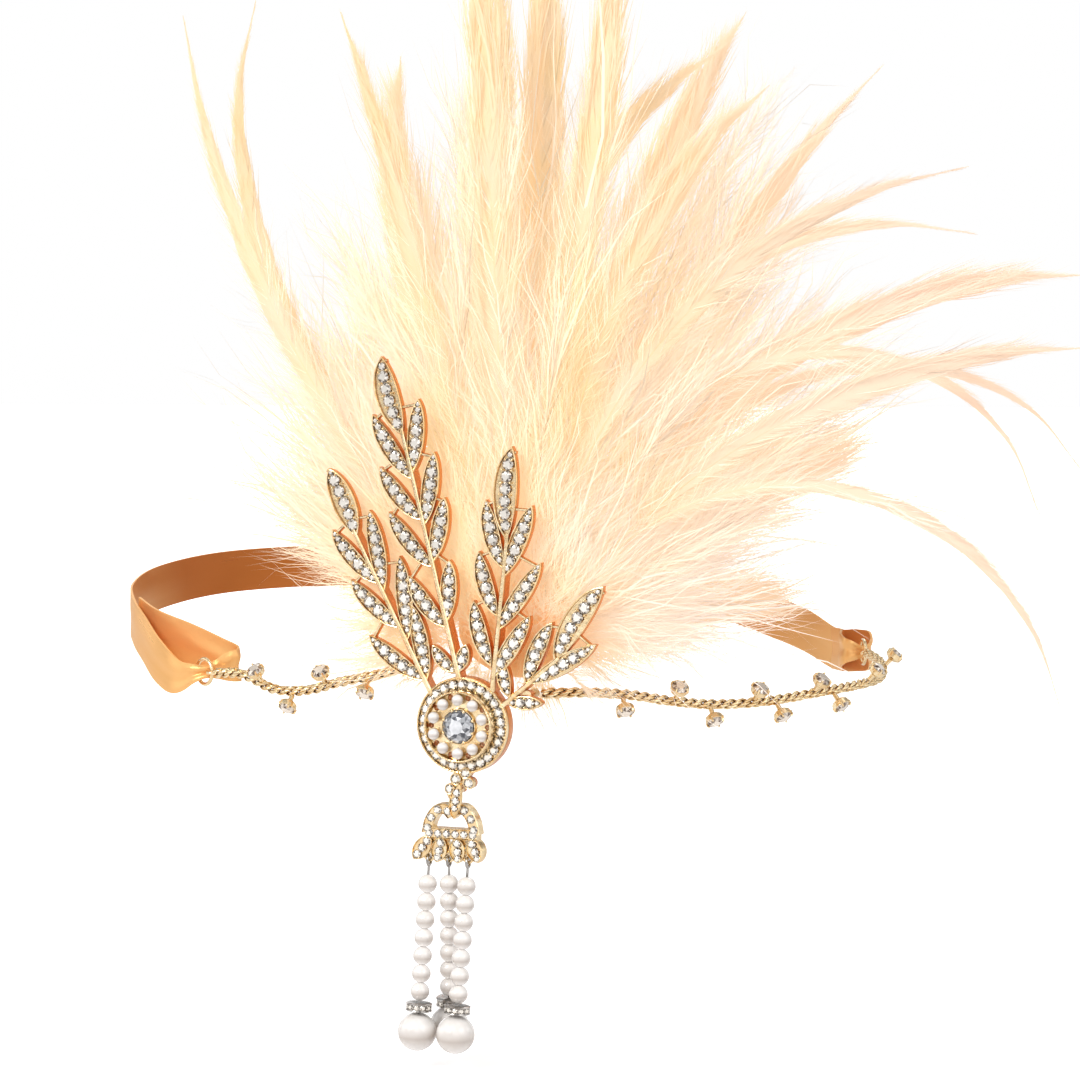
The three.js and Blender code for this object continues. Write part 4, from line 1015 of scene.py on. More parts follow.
def makeRope(points):
    run = smoothLine(points, 3)[2]
    count = int(run / (chainLook["step"] * mm))
    line = smoothLine(points, count)[0]
    ahead = unit(np.gradient(line, axis=0))
    sideways = unit(np.cross(ahead, upward))
    above = np.cross(sideways, ahead)
    shell = newShell()
    distance = np.linspace(0, run, count)[:, None] / mm
    for strand in range(chainLook["strands"]):
        turn = (distance / chainLook["pitch"] + strand / chainLook["strands"]) * fullTurn
        spoke = sideways * np.cos(turn) + above * np.sin(turn)
        core = line + spoke * chainLook["strandReach"] * mm
        over = np.cross(unit(np.gradient(core, axis=0)), spoke)
        for wire in range(chainLook["wires"]):
            roll = (distance / chainLook["wirePitch"] + wire / chainLook["wires"]) * fullTurn
            aside = (spoke * np.cos(roll) + over * np.sin(roll)) * chainLook["wireReach"] * mm
            addTube(shell, core + aside, chainLook["wire"] * mm, chainLook["wireSides"])
    mesh = shellMesh("ropeWires", shell, chainGold, softFold)
    search = KDTree(len(line))
    for index, point in enumerate(line):
        search.insert(point, index)
    search.balance()
    # painted shade in the crevices between the wires, by how near each point lies to the rope's middle
    reach = np.array([search.find(vertex.co)[2] for vertex in mesh.vertices]) / mm
    addValues(mesh, "creaseShade", 1 - smoothStep(reach, *chainLook["creaseShade"]))
    return mesh


for sideName, knots in chainKnots.items():
    ringAngle, ringUp = ringPlaces[sideName]
    toward = math.copysign(1, ringAngle)
    eyeAngle = ringAngle - toward * ringLook["radius"] / perDegree
    endAngle = eyeAngle - toward * chainLook["eye"] / perDegree
    postAcross, postUp = chainPosts[sideName]
    start = onCasting(postAcross + toward * chainLook["startOut"],
                      leafLook["stemBack"] + chainLook["startBack"], postUp)
    rope = makeRope([start] + [onLoop(*knot) for knot in knots] + [onLoop(endAngle, 0, ringUp)])
    eyeShell, ringShell = newShell(), newShell()
    addRing(eyeShell, onLoop(eyeAngle, 0, ringUp), upward, chainLook["eye"], chainLook["eyeWire"])
    chain = joinMeshes("ropeChain" + sideName.capitalize(), [rope, shellMesh("chainEye", eyeShell, chainGold)])
    dress(chain, "headpiece", "gold", "rope_chain_" + sideName)
    addRing(ringShell, onLoop(ringAngle, 0, ringUp), loopNormal(ringAngle), *ringLook.values())
    jumpRing = newObject("jumpRing" + sideName.capitalize(), shellMesh("jumpRing", ringShell, chainGold))
    dress(jumpRing, "headpiece", "gold", "jump_ring_" + sideName)


# the foot and direction of a stud, from the middles of the two ends of its solid
def studLine(name):
    mesh = nodes[name].data
    points = np.round(np.array([v.co for v in mesh.vertices]), 7)
    places, which = np.unique(points, axis=0, return_inverse=True)
    which = which.ravel()
    uses = np.zeros(len(places), int)
    for face in mesh.polygons:
        for i in set(which[v] for v in face.vertices):
            uses[i] += 1
    ends = places[np.argsort(uses)[-2:]]
    near = [np.sort(np.linalg.norm(places - end, axis=1))[1] for end in ends]
    foot, table = ends[np.argsort(near)]
    return foot, unit(table - foot)


studLook = {"stone": 1.78, "stoneUp": 2.75, "cupSides": 24, "claws": 4, "clawSides": 6}
studCup = [(0.5, -0.5), (0.55, 0.9), (1.3, 1.25), (1.85, 1.7), (1.98, 2.5), (1.98, 2.85), (1.8, 2.9), (1.72, 2.6)]
studClaw = [(1.9, 2.2, 0.28), (1.86, 3.1, 0.26), (1.5, 3.45, 0.2)]  # reach, height, thickness
studNames = [f"stud_left_{i + 1}" for i in range(4)] + [f"stud_right_{i + 1}" for i in range(9)]
cupShell = newShell()
studStones, studAims = [], []
for name in studNames:
    foot, aim = studLine(name)
    addTurned(cupShell, foot, aim, studCup, studLook["cupSides"])
    sideways = unit(np.cross(aim, upward))
    above = np.cross(sideways, aim)
    for turn in evenTurns(studLook["claws"], 0.5):
        out = sideways * math.cos(turn) + above * math.sin(turn)
        claw = [foot + out * reach * mm + aim * height * mm for reach, height, thick in studClaw]
        addTube(cupShell, claw, [row[2] * mm for row in studClaw], studLook["clawSides"])
    studStones.append(foot + aim * studLook["stoneUp"] * mm)
    studAims.append(aim)
studs = joinMeshes("chainStuds", [
    shellMesh("chainStuds", cupShell, chainGold),
    aimedStones("studStones", studStones, studAims, studLook["stone"], studGlass, 6)])
dress(studs, "headpiece", "gold", *studNames)

# the satin ribbon, one strip from its left end through both rings to its right end
ribbonLook = {"width": 10.4, "thick": 0.5, "steps": 520, "across": 17, "pleats": 1.5, "pleatDepth": 0.4,
              "pleatDrift": 0.012, "cup": 0.35, "cupDrift": 0.05}
leftFold = [(40, 0.5, 7.6, 10), (27, 1.3, 5, 10), (15, 2.6, 1, 9.6), (6.5, 3, -1.3, 7.6), (1.6, 1.6, -0.4, 3.8),
            (-0.1, -0.2, 0, 2.6), (-1.4, -2.4, 0.4, 4), (-3.8, -3.4, 1, 6), (-5.6, -4.8, 1.4, 7),
            (-4, -6.2, 1.6, 7.4), (2, -5.8, 2.6, 8.4), (13, -4.4, 4.4, 9.6), (27, -1.8, 6.4, 10),
            (40, -0.5, 8.4, 10)]  # behind the ring, outside the loop, height, width
rightFold = [(36, 0.5, -2.4, 10), (20, 1.6, -1.4, 10), (9, 2.8, -0.5, 8.6), (2.2, 1.8, 0.1, 4.2),
             (-0.1, -0.2, 0, 2.6), (-1.2, -2.6, 0.2, 4.2), (-1.4, -4, 0.4, 5.4), (3, -4.6, 0.2, 7.4),
             (12, -3.4, -0.6, 9.4), (22, -1.6, -1.4, 10), (36, -0.5, -2.2, 10)]
bandKnots = [(130, 0.2), (155, 6.4), (180, 10.4), (210, 12.8), (240, 13.2), (262, 11.6),
             (280, 9.4)]  # angle on the loop, height


def foldKnots(rows, sideName):
    ringAngle, ringUp = ringPlaces[sideName]
    toward = math.copysign(1, ringAngle)
    return [(onLoop(ringAngle + toward * behind / perDegree, out, ringUp + up), width)
            for behind, out, up, width in rows]


def makeRibbon():
    knots = foldKnots(leftFold[::-1], "left")
    knots += [(onLoop(angle, 0, up), ribbonLook["width"]) for angle, up in bandKnots[::-1]]
    knots += foldKnots(rightFold, "right")
    line, widths, run = smoothLine([knot[0] for knot in knots], ribbonLook["steps"], [knot[1] for knot in knots])
    widths = widths[:, 0] * mm
    flatWidth = ribbonLook["width"] * mm
    ahead = unit(np.gradient(line, axis=0))
    face = unit(np.cross(ahead, upward))
    edge = np.cross(face, ahead)
    share = np.linspace(-1, 1, ribbonLook["across"])
    station = np.arange(len(line))[:, None]
    spare = np.sqrt(np.maximum(0, flatWidth - widths) / flatWidth)[:, None]  # where it is drawn together
    wave = np.cos(share * math.pi * ribbonLook["pleats"] + station * ribbonLook["pleatDrift"])
    cup = ribbonLook["cup"] * mm * (1 - share ** 2) * np.sin(station * ribbonLook["cupDrift"])
    lift = wave * spare * ribbonLook["pleatDepth"] * mm + cup * (1 - spare)
    reach = share * widths[:, None] / 2
    middle = line[:, None, :] + edge[:, None, :] * reach[:, :, None] + face[:, None, :] * lift[:, :, None]
    normal = unit(np.cross(np.gradient(middle, axis=1), np.gradient(middle, axis=0)))
    halfThick = normal * ribbonLook["thick"] / 2 * mm
    rows, columns = middle.shape[:2]
    points = np.vstack([(middle + halfThick).reshape(-1, 3), (middle - halfThick).reshape(-1, 3)])
    half = rows * columns
    faces = []
    for i in range(rows - 1):
        for j in range(columns - 1):
            a = i * columns + j
            faces.append((a, a + columns, a + columns + 1, a + 1))
            faces.append((half + a, half + a + 1, half + a + columns + 1, half + a + columns))
    rim = [i * columns for i in range(rows)] + [(rows - 1) * columns + j for j in range(1, columns)]
    rim += [i * columns + columns - 1 for i in range(rows - 2, -1, -1)] + [j for j in range(columns - 2, 0, -1)]
    faces += [(a, a + half, b + half, b) for a, b in zip(rim, rim[1:] + rim[:1])]
    mesh = bpy.data.meshes.new("satinRibbon")
    mesh.from_pydata(points.tolist(), [], faces)
    cloth = np.stack(np.meshgrid(np.linspace(0, run, rows), (share + 1) / 2 * flatWidth, indexing="ij"), -1)
    addFlatMap(mesh, "cloth", np.vstack([cloth.reshape(-1, 2)] * 2))
    turnOutward(mesh)
    mesh.shade_smooth()
    mesh.set_sharp_from_angle(angle=math.radians(softFold))
    mesh.materials.append(apricotSatin)
    return newObject("satinRibbon", mesh), run


ribbon, ribbonLength = makeRibbon()
dress(ribbon, "headpiece", "satin", "ribbon")
ribbonArea = sum(face.area for face in ribbon.data.polygons) / 2
print("ribbon length", round(ribbonLength, 4), "area", round(ribbonArea, 6))

# the plume: feathers with a shaft, a closed vane, loose barbs and down, on a felt pad
plumeLook = {"across": 9, "depth": 6.2, "up": 20, "halfWidth": 13, "halfDepth": 3.4, "halfHeight": 10.5,
             "sweepBack": 0.16, "steps": 8, "seed": 7, "vaneBarbs": 1300, "downBarbs": 260, "ruffleSize": 110.0,
             "vaneRuffle": 1.6, "downRuffle": 13.0}
featherLayers = [  # depth, tilt; then lean at the root and at the tip, bend, length, width, place on the pad
    (4.2, 1, [(-45, -12, 1.4, 146, 9, -5), (-14, -20, 2.5, 130, 13, -3), (-3, -4, 2, 142, 17, -1),
              (9, 5, 2, 146, 17, 1), (11, 48, 2.5, 121, 14, 3), (4, 77, 1.1, 135, 9, 5), (31, 86, 1, 126, 11, 7),
              (18, 160, 1, 134, 7, 9)]),
    (6.2, 9, [(-44, 8, 2.5, 155, 9, -5), (-22, 0, 3, 124, 16, -2), (0, -2, 2, 148, 18, 0), (-22, 53, 1.2, 135, 13, 2),
              (-2, 97, 1.3, 136, 8, 4), (16, 87, 1, 138, 13, 6), (5, 157, 1.4, 143, 6, 8)]),
    (8.2, 17, [(48, 72, 2, 62, 22, 4), (-12, -5, 1, 150, 17, -1), (3, 26, 1.2, 138, 17, 1), (20, 40, 2.3, 139, 11, 3),
               (25, 142, 1.8, 142, 6, 5), (76, 92, 2, 36, 18, 7)])]
fillReach = ([-76, -66, -60, -48, -40, -34, -25, -12, 0, 12, 25, 40, 52, 58, 64, 75, 90, 104],  # lean
             [40, 50, 57, 64, 76, 90, 108, 130, 140, 136, 118, 94, 76, 62, 48, 36, 26, 10])  # length there


def featherLine(depth, tilt, lean, tipLean, bend, length, root, twist=(0.0, 0.0), count=61):
    share = np.linspace(0, 1, plumeLook["steps"] + 1)
    leans = np.radians(lean + (tipLean - lean) * share ** bend)
    back = math.radians(tilt + plumeLook["sweepBack"] * max(0, lean))
    stride = np.stack([np.sin(leans) * math.cos(back), np.full_like(leans, math.sin(back)),
                       np.cos(leans) * math.cos(back)], -1)
    stride *= length / plumeLook["steps"]
    stride[0] = 0
    place = np.array([plumeLook["across"] + root, depth, plumeLook["up"]]) + np.cumsum(stride, axis=0)
    line = smoothLine(onCasting(*place.T), count)[0]
    ahead = unit(np.gradient(line, axis=0))
    side = unit(np.cross(-castingOut, ahead))
    face = np.cross(side, ahead)
    share = np.linspace(0, 1, count)
    turn = (twist[0] + twist[1] * (share - 0.5))[:, None]
    return line, ahead, side * np.cos(turn) + face * np.sin(turn), face * np.cos(turn) - side * np.sin(turn), share


# a thin curved strip that ends in a point, one long
def makeBarbShape(name, width, stations):
    t = np.linspace(0, 1, stations)
    line = np.stack([t * (1 - 0.12 * t), 0.30 * t ** 1.7, 0.12 * t ** 2], -1)
    half = width / 2 * (1 - t ** 1.6)
    points, along, faces = [], [], []
    for i in range(stations - 1):
        points += [tuple(line[i] + np.array([0, half[i], 0])), tuple(line[i] - np.array([0, half[i], 0]))]
        along += [t[i], t[i]]
    points.append(tuple(line[-1]))
    along.append(1.0)
    for i in range(stations - 2):
        faces.append((2 * i, 2 * i + 1, 2 * i + 3, 2 * i + 2))
    tail = 2 * (stations - 2)
    faces.append((tail, tail + 1, tail + 2))
    mesh = bpy.data.meshes.new(name)
    mesh.from_pydata(points, [], faces)
    addValues(mesh, "along", along)
    mesh.shade_smooth()
    return newObject(name, mesh)


# rows of barbs on a feather, in clumps that share their lean and reach; around: on all sides of the shaft
def barbRows(line, width, count, chance, span, leans, reach, loose, clumps, around=False, uneven=1.0):
    place, ahead, side, face, share = line
    at = np.sort(chance.uniform(span[0], span[1], count))
    sign = np.where(np.arange(count) % 2 == 0, 1.0, -1.0)
    clump = (at * clumps + chance.uniform(0, 1)).astype(int) * 2 + (sign > 0)

    def pick(spread):
        return chance.normal(0, spread, clumps * 2 + 6)[clump]

    def spot(table):
        return np.stack([np.interp(at, share, table[:, k]) for k in range(3)], -1)

    swell = smoothStep(at, 0.0, 0.3) * (1 - smoothStep(at, 0.66, 1.05))
    half = np.maximum(0.9, width * 0.6 * swell) * mm
    lean = leans[0] + (leans[1] - leans[0]) * smoothStep(at, *span) + pick(5 * uneven)
    lean = np.clip(np.radians(lean + chance.normal(0, 2 + 10 * loose, count)), 0.1, 1.9)
    length = half / np.maximum(np.sin(lean), 0.3) * reach * (1 + pick(0.13 * uneven))
    length = length * chance.uniform(0.7, 1.1, count)
    lift = pick(0.08 * uneven) + chance.normal(0, 0.05 + 0.45 * loose, count)
    if around:
        lift = chance.uniform(-1, 1, count) * math.pi / 2
    root, forward, out, normal = spot(place), unit(spot(ahead)), unit(spot(side)), unit(spot(face))
    spread = out * (sign * np.cos(lift))[:, None] + normal * np.sin(lift)[:, None]
    heading = unit(forward * np.cos(lean)[:, None] + spread * np.sin(lean)[:, None])
    twist = chance.normal(0, 0.3 + 0.8 * loose, count)[:, None]
    bow = unit(forward - heading * np.sum(forward * heading, 1, keepdims=True))
    aim = unit(np.cross(heading, bow) * np.cos(twist) + bow * np.sin(twist))
    size = np.stack([length, length * chance.uniform(0.5, 1.2, count),
                     length * chance.normal(0.1, 0.5 + loose, count)], -1)
    return {"at": root, "aim": aim, "side": heading, "size": size}, at


# the closed part of the vane: a ragged, slightly hollow blade along the shaft
bladeParts = {"points": [], "faces": [], "share": [], "tone": [], "vane": []}
bladeLook = {"core": 0.5, "start": 0.15, "ragged": (0.7, 1.1), "notches": 26, "camber": 0.22, "lift": 0.15,
             "sweep": 0.9, "across": (-1, -0.5, 0, 0.5, 1)}


def addBlade(line, width, tone, chance):
    place, ahead, side, face, share = line
    notches = np.linspace(0, 1, bladeLook["notches"])
    ragged = [np.interp(share, notches, chance.uniform(*bladeLook["ragged"], len(notches))) for edge in range(2)]
    half = width / 2 * bladeLook["core"] * smoothStep(share, 0.14, 0.5) * (1 - smoothStep(share, 0.6, 1.02)) * mm
    camber = chance.normal(0, bladeLook["camber"])
    start, columns = len(bladeParts["points"]), len(bladeLook["across"])
    for row, i in enumerate(np.nonzero(share > bladeLook["start"])[0]):
        for q in bladeLook["across"]:
            reach = half[i] * q * ragged[int(q > 0)][i]
            hollow = face[i] * (camber * abs(reach) + bladeLook["lift"] * mm)
            point = place[i] + side[i] * reach + hollow + ahead[i] * abs(reach) * bladeLook["sweep"]
            bladeParts["points"].append(tuple(point))
            bladeParts["share"].append(share[i])
            bladeParts["tone"].append(tone)
            bladeParts["vane"].append((share[i] * 150 - abs(reach) / mm * 2.4, q))
        if row:
            for k in range(columns - 1):
                a = start + (row - 1) * columns + k
                bladeParts["faces"].append((a, a + 1, a + columns + 1, a + columns))


featherLook = {"cream": (0.97, 0.75, 0.45, 1), "yellow": (0.96, 0.68, 0.32, 1), "blush": (0.97, 0.74, 0.60, 1),
               "shade": (0.86, 0.40, 0.12, 1), "tip": (0.98, 0.83, 0.62, 1), "haze": (0.98, 0.84, 0.72, 1),
               "pale": (0.99, 0.85, 0.78, 1), "blushPatch": 55, "blushShare": 0.85, "patchShare": 0.5,
               "combScale": (2.2, 0.25, 1), "combShare": 0.5, "shadeShare": 0.8, "raise": (-0.15, 0, 0.45),
               "ownFacing": (0.45, 0.45, 0.45)}


# pale: below 1 lightens the lit colour; glow: painted glow, an emission in place of the light that comes through the
# barbs; haze: how pale the outer down is
def makeFeatherFinish(name, pale, gain, glow, paleTips=0.0, haze=0.0, combed=False):
    material, tree, shader = newFinish(name, {
        "Roughness": 0.75, "Sheen Weight": 0.05, "Sheen Roughness": 0.5, "Sheen Tint": (1.0, 0.9, 0.78, 1),
        "Specular IOR Level": 0.1, "Emission Strength": glow})
    coords = objectCoords(tree)
    share = readValue(tree, "share")
    place = addNode(tree, "ShaderNodeSeparateXYZ", {0: coords}).outputs

    def tint(colour, value, fromLow, fromHigh, low, high, other):
        return mixColours(tree, mapValue(tree, value, fromLow, fromHigh, low, high), colour, featherLook[other])

    colour = mixColours(tree, readValue(tree, "tone"), featherLook["cream"], featherLook["yellow"])
    colour = tint(colour, place["X"], 0.02, 0.09, 0, featherLook["blushShare"], "blush")
    patches = mottleMask(tree, coords, featherLook["blushPatch"], 0.35, 0.7)
    colour = tint(colour, patches, 0, 1, 0, featherLook["patchShare"], "blush")
    if combed:
        vane = addNode(tree, "ShaderNodeUVMap", uv_map="vane").outputs["UV"]
        drawn = addNode(tree, "ShaderNodeMapping", {"Vector": vane, "Scale": featherLook["combScale"]}).outputs[0]
        lines = mottleMask(tree, drawn, 1.0, 0.3, 0.7, 3.0)
        colour = tint(colour, lines, 0, 1, 0, featherLook["combShare"], "tip")
    else:
        colour = tint(colour, readValue(tree, "along"), 0.1, 1.0, 0.0, paleTips, "tip")
    if haze:
        colour = tint(colour, share, 0.35, 0.72, 0.0, haze, "haze")
        low = numberMath(tree, "MULTIPLY", mapValue(tree, place["Z"], 0.015, 0.05, haze, 0.0),
                         mapValue(tree, place["X"], 0.02, 0.05, 0.0, 1.0))
        colour = mixColours(tree, low, colour, featherLook["pale"])
    # painted shade: near the roots of the barbs, and where the share was lowered behind the leaves, the colour turns
    # to the shade colour
    colour = tint(colour, share, 0.02, 0.17, featherLook["shadeShare"], 0.0, "shade")
    lit = addNode(tree, "ShaderNodeGamma", {0: colour, 1: pale}).outputs[0]
    tree.links.new(scaleVector(tree, lit, gain), shader.inputs["Base Color"])
    # painted glow: the feather colour also shines as emission
    tree.links.new(colour, shader.inputs["Emission Color"])
    # barbs share one soft facing, forward or backward and up, so that they read as down
    facing = addNode(tree, "ShaderNodeNewGeometry").outputs["Normal"]
    sign = numberMath(tree, "SIGN", dotProduct(tree, facing, tuple(castingOut)))
    raised = vectorMath(tree, "ADD", scaleVector(tree, tuple(castingOut), sign), featherLook["raise"])
    blended = vectorMath(tree, "MULTIPLY_ADD", facing, featherLook["ownFacing"], raised)
    tree.links.new(vectorMath(tree, "NORMALIZE", blended), shader.inputs["Normal"])
    return material


vaneFinish = makeFeatherFinish("featherBarbs", pale=0.9, gain=0.72, glow=0.38, paleTips=0.35)
downFinish = makeFeatherFinish("featherDown", pale=0.75, gain=0.82, glow=0.42, paleTips=0.4, haze=0.6)
bladeFinish = makeFeatherFinish("featherVane", pale=1.0, gain=0.6, glow=0.47, combed=True)

vaneBarb = makeBarbShape("vaneBarb", 0.018, 4)
downBarb = makeBarbShape("downBarb", 0.010, 5)
chance = np.random.default_rng(plumeLook["seed"])
shaftShell = newShell()
vaneSets = {"plumeFront": [], "plumeMiddle": [], "plumeBack": []}
downSets = {"plumeDownFront": [], "plumeDownMiddle": [], "plumeDownBack": []}
shaftLook = {"root": 0.38, "tip": 0.05, "sides": 5, "share": 0.5, "tone": 0.9}


def addFeather(setName, downName, depth, tilt, lean, tipLean, bend, length, width, root):
    twist = chance.normal(0, (0.25, 0.5))
    line = featherLine(depth, tilt, lean, tipLean, bend, length, root, twist)
    middle = (lean + tipLean) / 2
    tone = float(np.clip(chance.normal(0.62 - 0.012 * abs(middle - 8), 0.22), 0, 1))
    shaft = line[0][::2]
    thick = np.linspace(shaftLook["root"], shaftLook["tip"], len(shaft)) * mm
    addTube(shaftShell, shaft, thick, shaftLook["sides"])
    addBlade(line, width, tone, chance)
    rows, at = barbRows(line, width, plumeLook["vaneBarbs"], chance, span=(0.2, 0.985), leans=(36, 13), reach=1.0,
                        loose=0.02, clumps=24, uneven=0.35)
    vaneSets[setName].append((rows, at, np.full(len(at), tone)))
    rows, at = barbRows(line, max(width, 12) * 1.3, plumeLook["downBarbs"], chance, span=(0.04, 0.62),
                        leans=(58, 34), reach=1.1, loose=0.5, clumps=12)
    downSets[downName].append((rows, at, np.full(len(at), tone * 0.6)))


for (depth, tilt, feathers), setName, downName in zip(featherLayers, vaneSets, downSets):
    for row in feathers:
        addFeather(setName, downName, depth, tilt, *row)


# a soft plume with loose barbs on all sides of its shaft
def addSoftPlume(depth, lean, tipLean, length, root, lift, width, count, tone):
    line = featherLine(depth, (depth - 3) * 3.4, lean, tipLean, 1.6, length, root)
    line = (line[0] + upward * lift * mm,) + line[1:]
    rows, at = barbRows(line, width, count, chance, span=(0.08, 0.995), leans=(56, 24), reach=1.0, loose=0.8,
                        clumps=9, around=True)
    downName = "plumeDownFront" if depth < 4.6 else "plumeDownMiddle" if depth < 6.6 else "plumeDownBack"
    downSets[downName].append((rows, 0.14 + 0.6 * at, np.full(len(at), tone)))


def draw(low, high):
    return chance.uniform(low, high)


def swayed(lean, spread, middle=0):
    return lean + chance.normal(middle, spread)


def fillLength(lean):
    return np.interp(lean, *fillReach)


def rootFor(lean):
    return np.interp(lean, [-68, 92], [-8, 9])


# soft plumes that fill the fan, then its top, then its left side
fillLook = {"plumes": 64, "firstLean": -70, "leanSpan": 162, "nearest": 3.2, "depthSpan": 5.8, "barbs": 70,
            "barbsPerMm": 6, "topBarbsPerMm": 5}
topFill = [(-17, 112), (-13, 120), (-9, 124), (-5, 122), (15, 108), (19, 108), (25, 110), (29, 106)]  # lean, length
sideLook = {"plumes": 13, "firstLean": -68, "leanSpan": 32, "nearest": 4.0, "depthSpan": 4.6}
for index in range(fillLook["plumes"]):
    lean = fillLook["firstLean"] + fillLook["leanSpan"] * (index * goldenShare % 1.0)
    depth = fillLook["nearest"] + fillLook["depthSpan"] * (index + 0.5) / fillLook["plumes"]
    length = fillLength(lean) * np.interp(depth, [3.2, 8], [0.6, 1.0]) * draw(0.86, 1.0)
    barbs = int(fillLook["barbs"] + fillLook["barbsPerMm"] * length)
    addSoftPlume(depth, lean, swayed(lean, 18) + max(0, lean - 40) * 0.2, length, rootFor(lean), draw(-3, 3),
                 draw(19, 27), barbs, draw(0.0, 0.7))
for lean, length in topFill:
    barbs = int(fillLook["barbs"] + fillLook["topBarbsPerMm"] * length)
    addSoftPlume(draw(5, 8.6), lean, swayed(lean, 6), length, rootFor(lean), 0, draw(19, 23), barbs, draw(0.3, 0.8))
for index in range(sideLook["plumes"]):
    lean = sideLook["firstLean"] + sideLook["leanSpan"] * (index + 0.5) / sideLook["plumes"]
    depth = sideLook["nearest"] + sideLook["depthSpan"] * (index * goldenShare % 1.0)
    length = fillLength(lean) * draw(0.84, 1.0)
    barbs = int(fillLook["barbs"] + fillLook["barbsPerMm"] * length)
    addSoftPlume(depth, lean, swayed(lean, 10, 4), length, draw(-9, -4), draw(-3, 3), draw(22, 28), barbs,
                 draw(0.1, 0.7))

# short tufts: all over the fan, over the pad and between the leaves, at its left, and along its lower edge
tuftLook = {"tufts": 160, "padTufts": 70, "lowTufts": 40, "hemTufts": 26, "barbs": 95, "padBarbs": 80, "lowBarbs": 90,
            "hemBarbs": 70, "padDepth": 2.6, "lowDepth": 2.8, "padAcross": 11, "padHigh": 9, "padFan": 3.2,
            "hemFrom": -9, "hemSpan": 20, "hemFan": 7}
for index in range(tuftLook["tufts"]):
    lean = draw(-74, 100)
    length = fillLength(lean) * draw(0.3, 0.62)
    addSoftPlume(draw(3.2, 9.0), lean, swayed(lean, 22), length, np.interp(lean, [-74, 100], [-9, 9]) + draw(-3, 3),
                 draw(-5, 6), draw(16, 24), tuftLook["barbs"], draw(0.0, 0.4))
for index in range(tuftLook["padTufts"]):
    turn, reach = index * goldenTurn, math.sqrt((index + 0.5) / tuftLook["padTufts"])
    across, lift = tuftLook["padAcross"] * reach * math.sin(turn), tuftLook["padHigh"] * reach * math.cos(turn)
    lean = swayed(across * tuftLook["padFan"], 16)
    addSoftPlume(tuftLook["padDepth"], lean, swayed(lean, 25), draw(15, 30), across, lift, draw(13, 20),
                 tuftLook["padBarbs"], draw(0.0, 0.3))
for index in range(tuftLook["lowTufts"]):
    lean = draw(-112, -48)
    addSoftPlume(tuftLook["lowDepth"], lean, swayed(lean, 20), draw(15, 27), draw(-12, -8), draw(-7, 7),
                 draw(12, 17), tuftLook["lowBarbs"], draw(0.0, 0.3))
for index in range(tuftLook["hemTufts"]):
    across = tuftLook["hemFrom"] + tuftLook["hemSpan"] * (index + 0.5) / tuftLook["hemTufts"]
    lean = swayed(180 - across * tuftLook["hemFan"], 18)
    addSoftPlume(tuftLook["lowDepth"], lean, swayed(lean, 25), draw(7, 12), across, draw(-8, -4), draw(9, 12),
                 tuftLook["hemBarbs"], draw(0.0, 0.3))


# what would stand in front of the casting's back is pressed behind it
def keepBehind(mesh, least=1.7, press=0.12, ease=7, easeFrom=58, easeTo=95):
    points = meshPoints(mesh)
    depth = (points - castingMiddle) @ -castingOut / mm
    high = points[:, 2] / mm + castingLook["drop"]
    limit = least - ease * smoothStep(high, easeFrom, easeTo)
    moved = np.where(depth < limit, limit + (depth - limit) * press, depth)
    points += np.outer((moved - depth) * mm, -castingOut).astype(np.float32)
    mesh.vertices.foreach_set("co", points.ravel())
    mesh.update()


# painted shadow: barbs close behind the leaves, a little to the right of and below them, take the warm painted shade
leafShadeLook = {"shift": (0.9, -0.6), "near": (1.4, 4.6), "depth": (4.0, 11.0), "share": 0.8, "level": 0.07, "far": 9.0}


def shadeBehindLeaves(mesh):
    points = meshPoints(mesh) - castingMiddle
    flat = np.stack([points @ castingSide, points @ upward], -1) / mm
    near = np.full(len(points), leafShadeLook["far"])
    lines = [leafLine(row)[:2] for row in leaves]
    lines += [(np.array(root, float), np.array(top, float)) for root, top in sprays.values()]
    for base, tip in lines:
        base, tip = base + leafShadeLook["shift"], tip + leafShadeLook["shift"]
        along = tip - base
        share = np.clip((flat - base) @ along / (along @ along), 0, 1)
        near = np.minimum(near, np.linalg.norm(flat - base - share[:, None] * along, axis=1))
    depth = points @ -castingOut / mm
    warmShade = (1 - smoothStep(near, *leafShadeLook["near"])) * (1 - smoothStep(depth, *leafShadeLook["depth"]))
    warmShade = warmShade * leafShadeLook["share"]
    values = np.zeros(len(points), np.float32)
    layer = mesh.attributes["share"]
    layer.data.foreach_get("value", values)
    values = values * (1 - warmShade) + np.minimum(values, leafShadeLook["level"]) * warmShade
    layer.data.foreach_set("value", values.astype(np.float32))


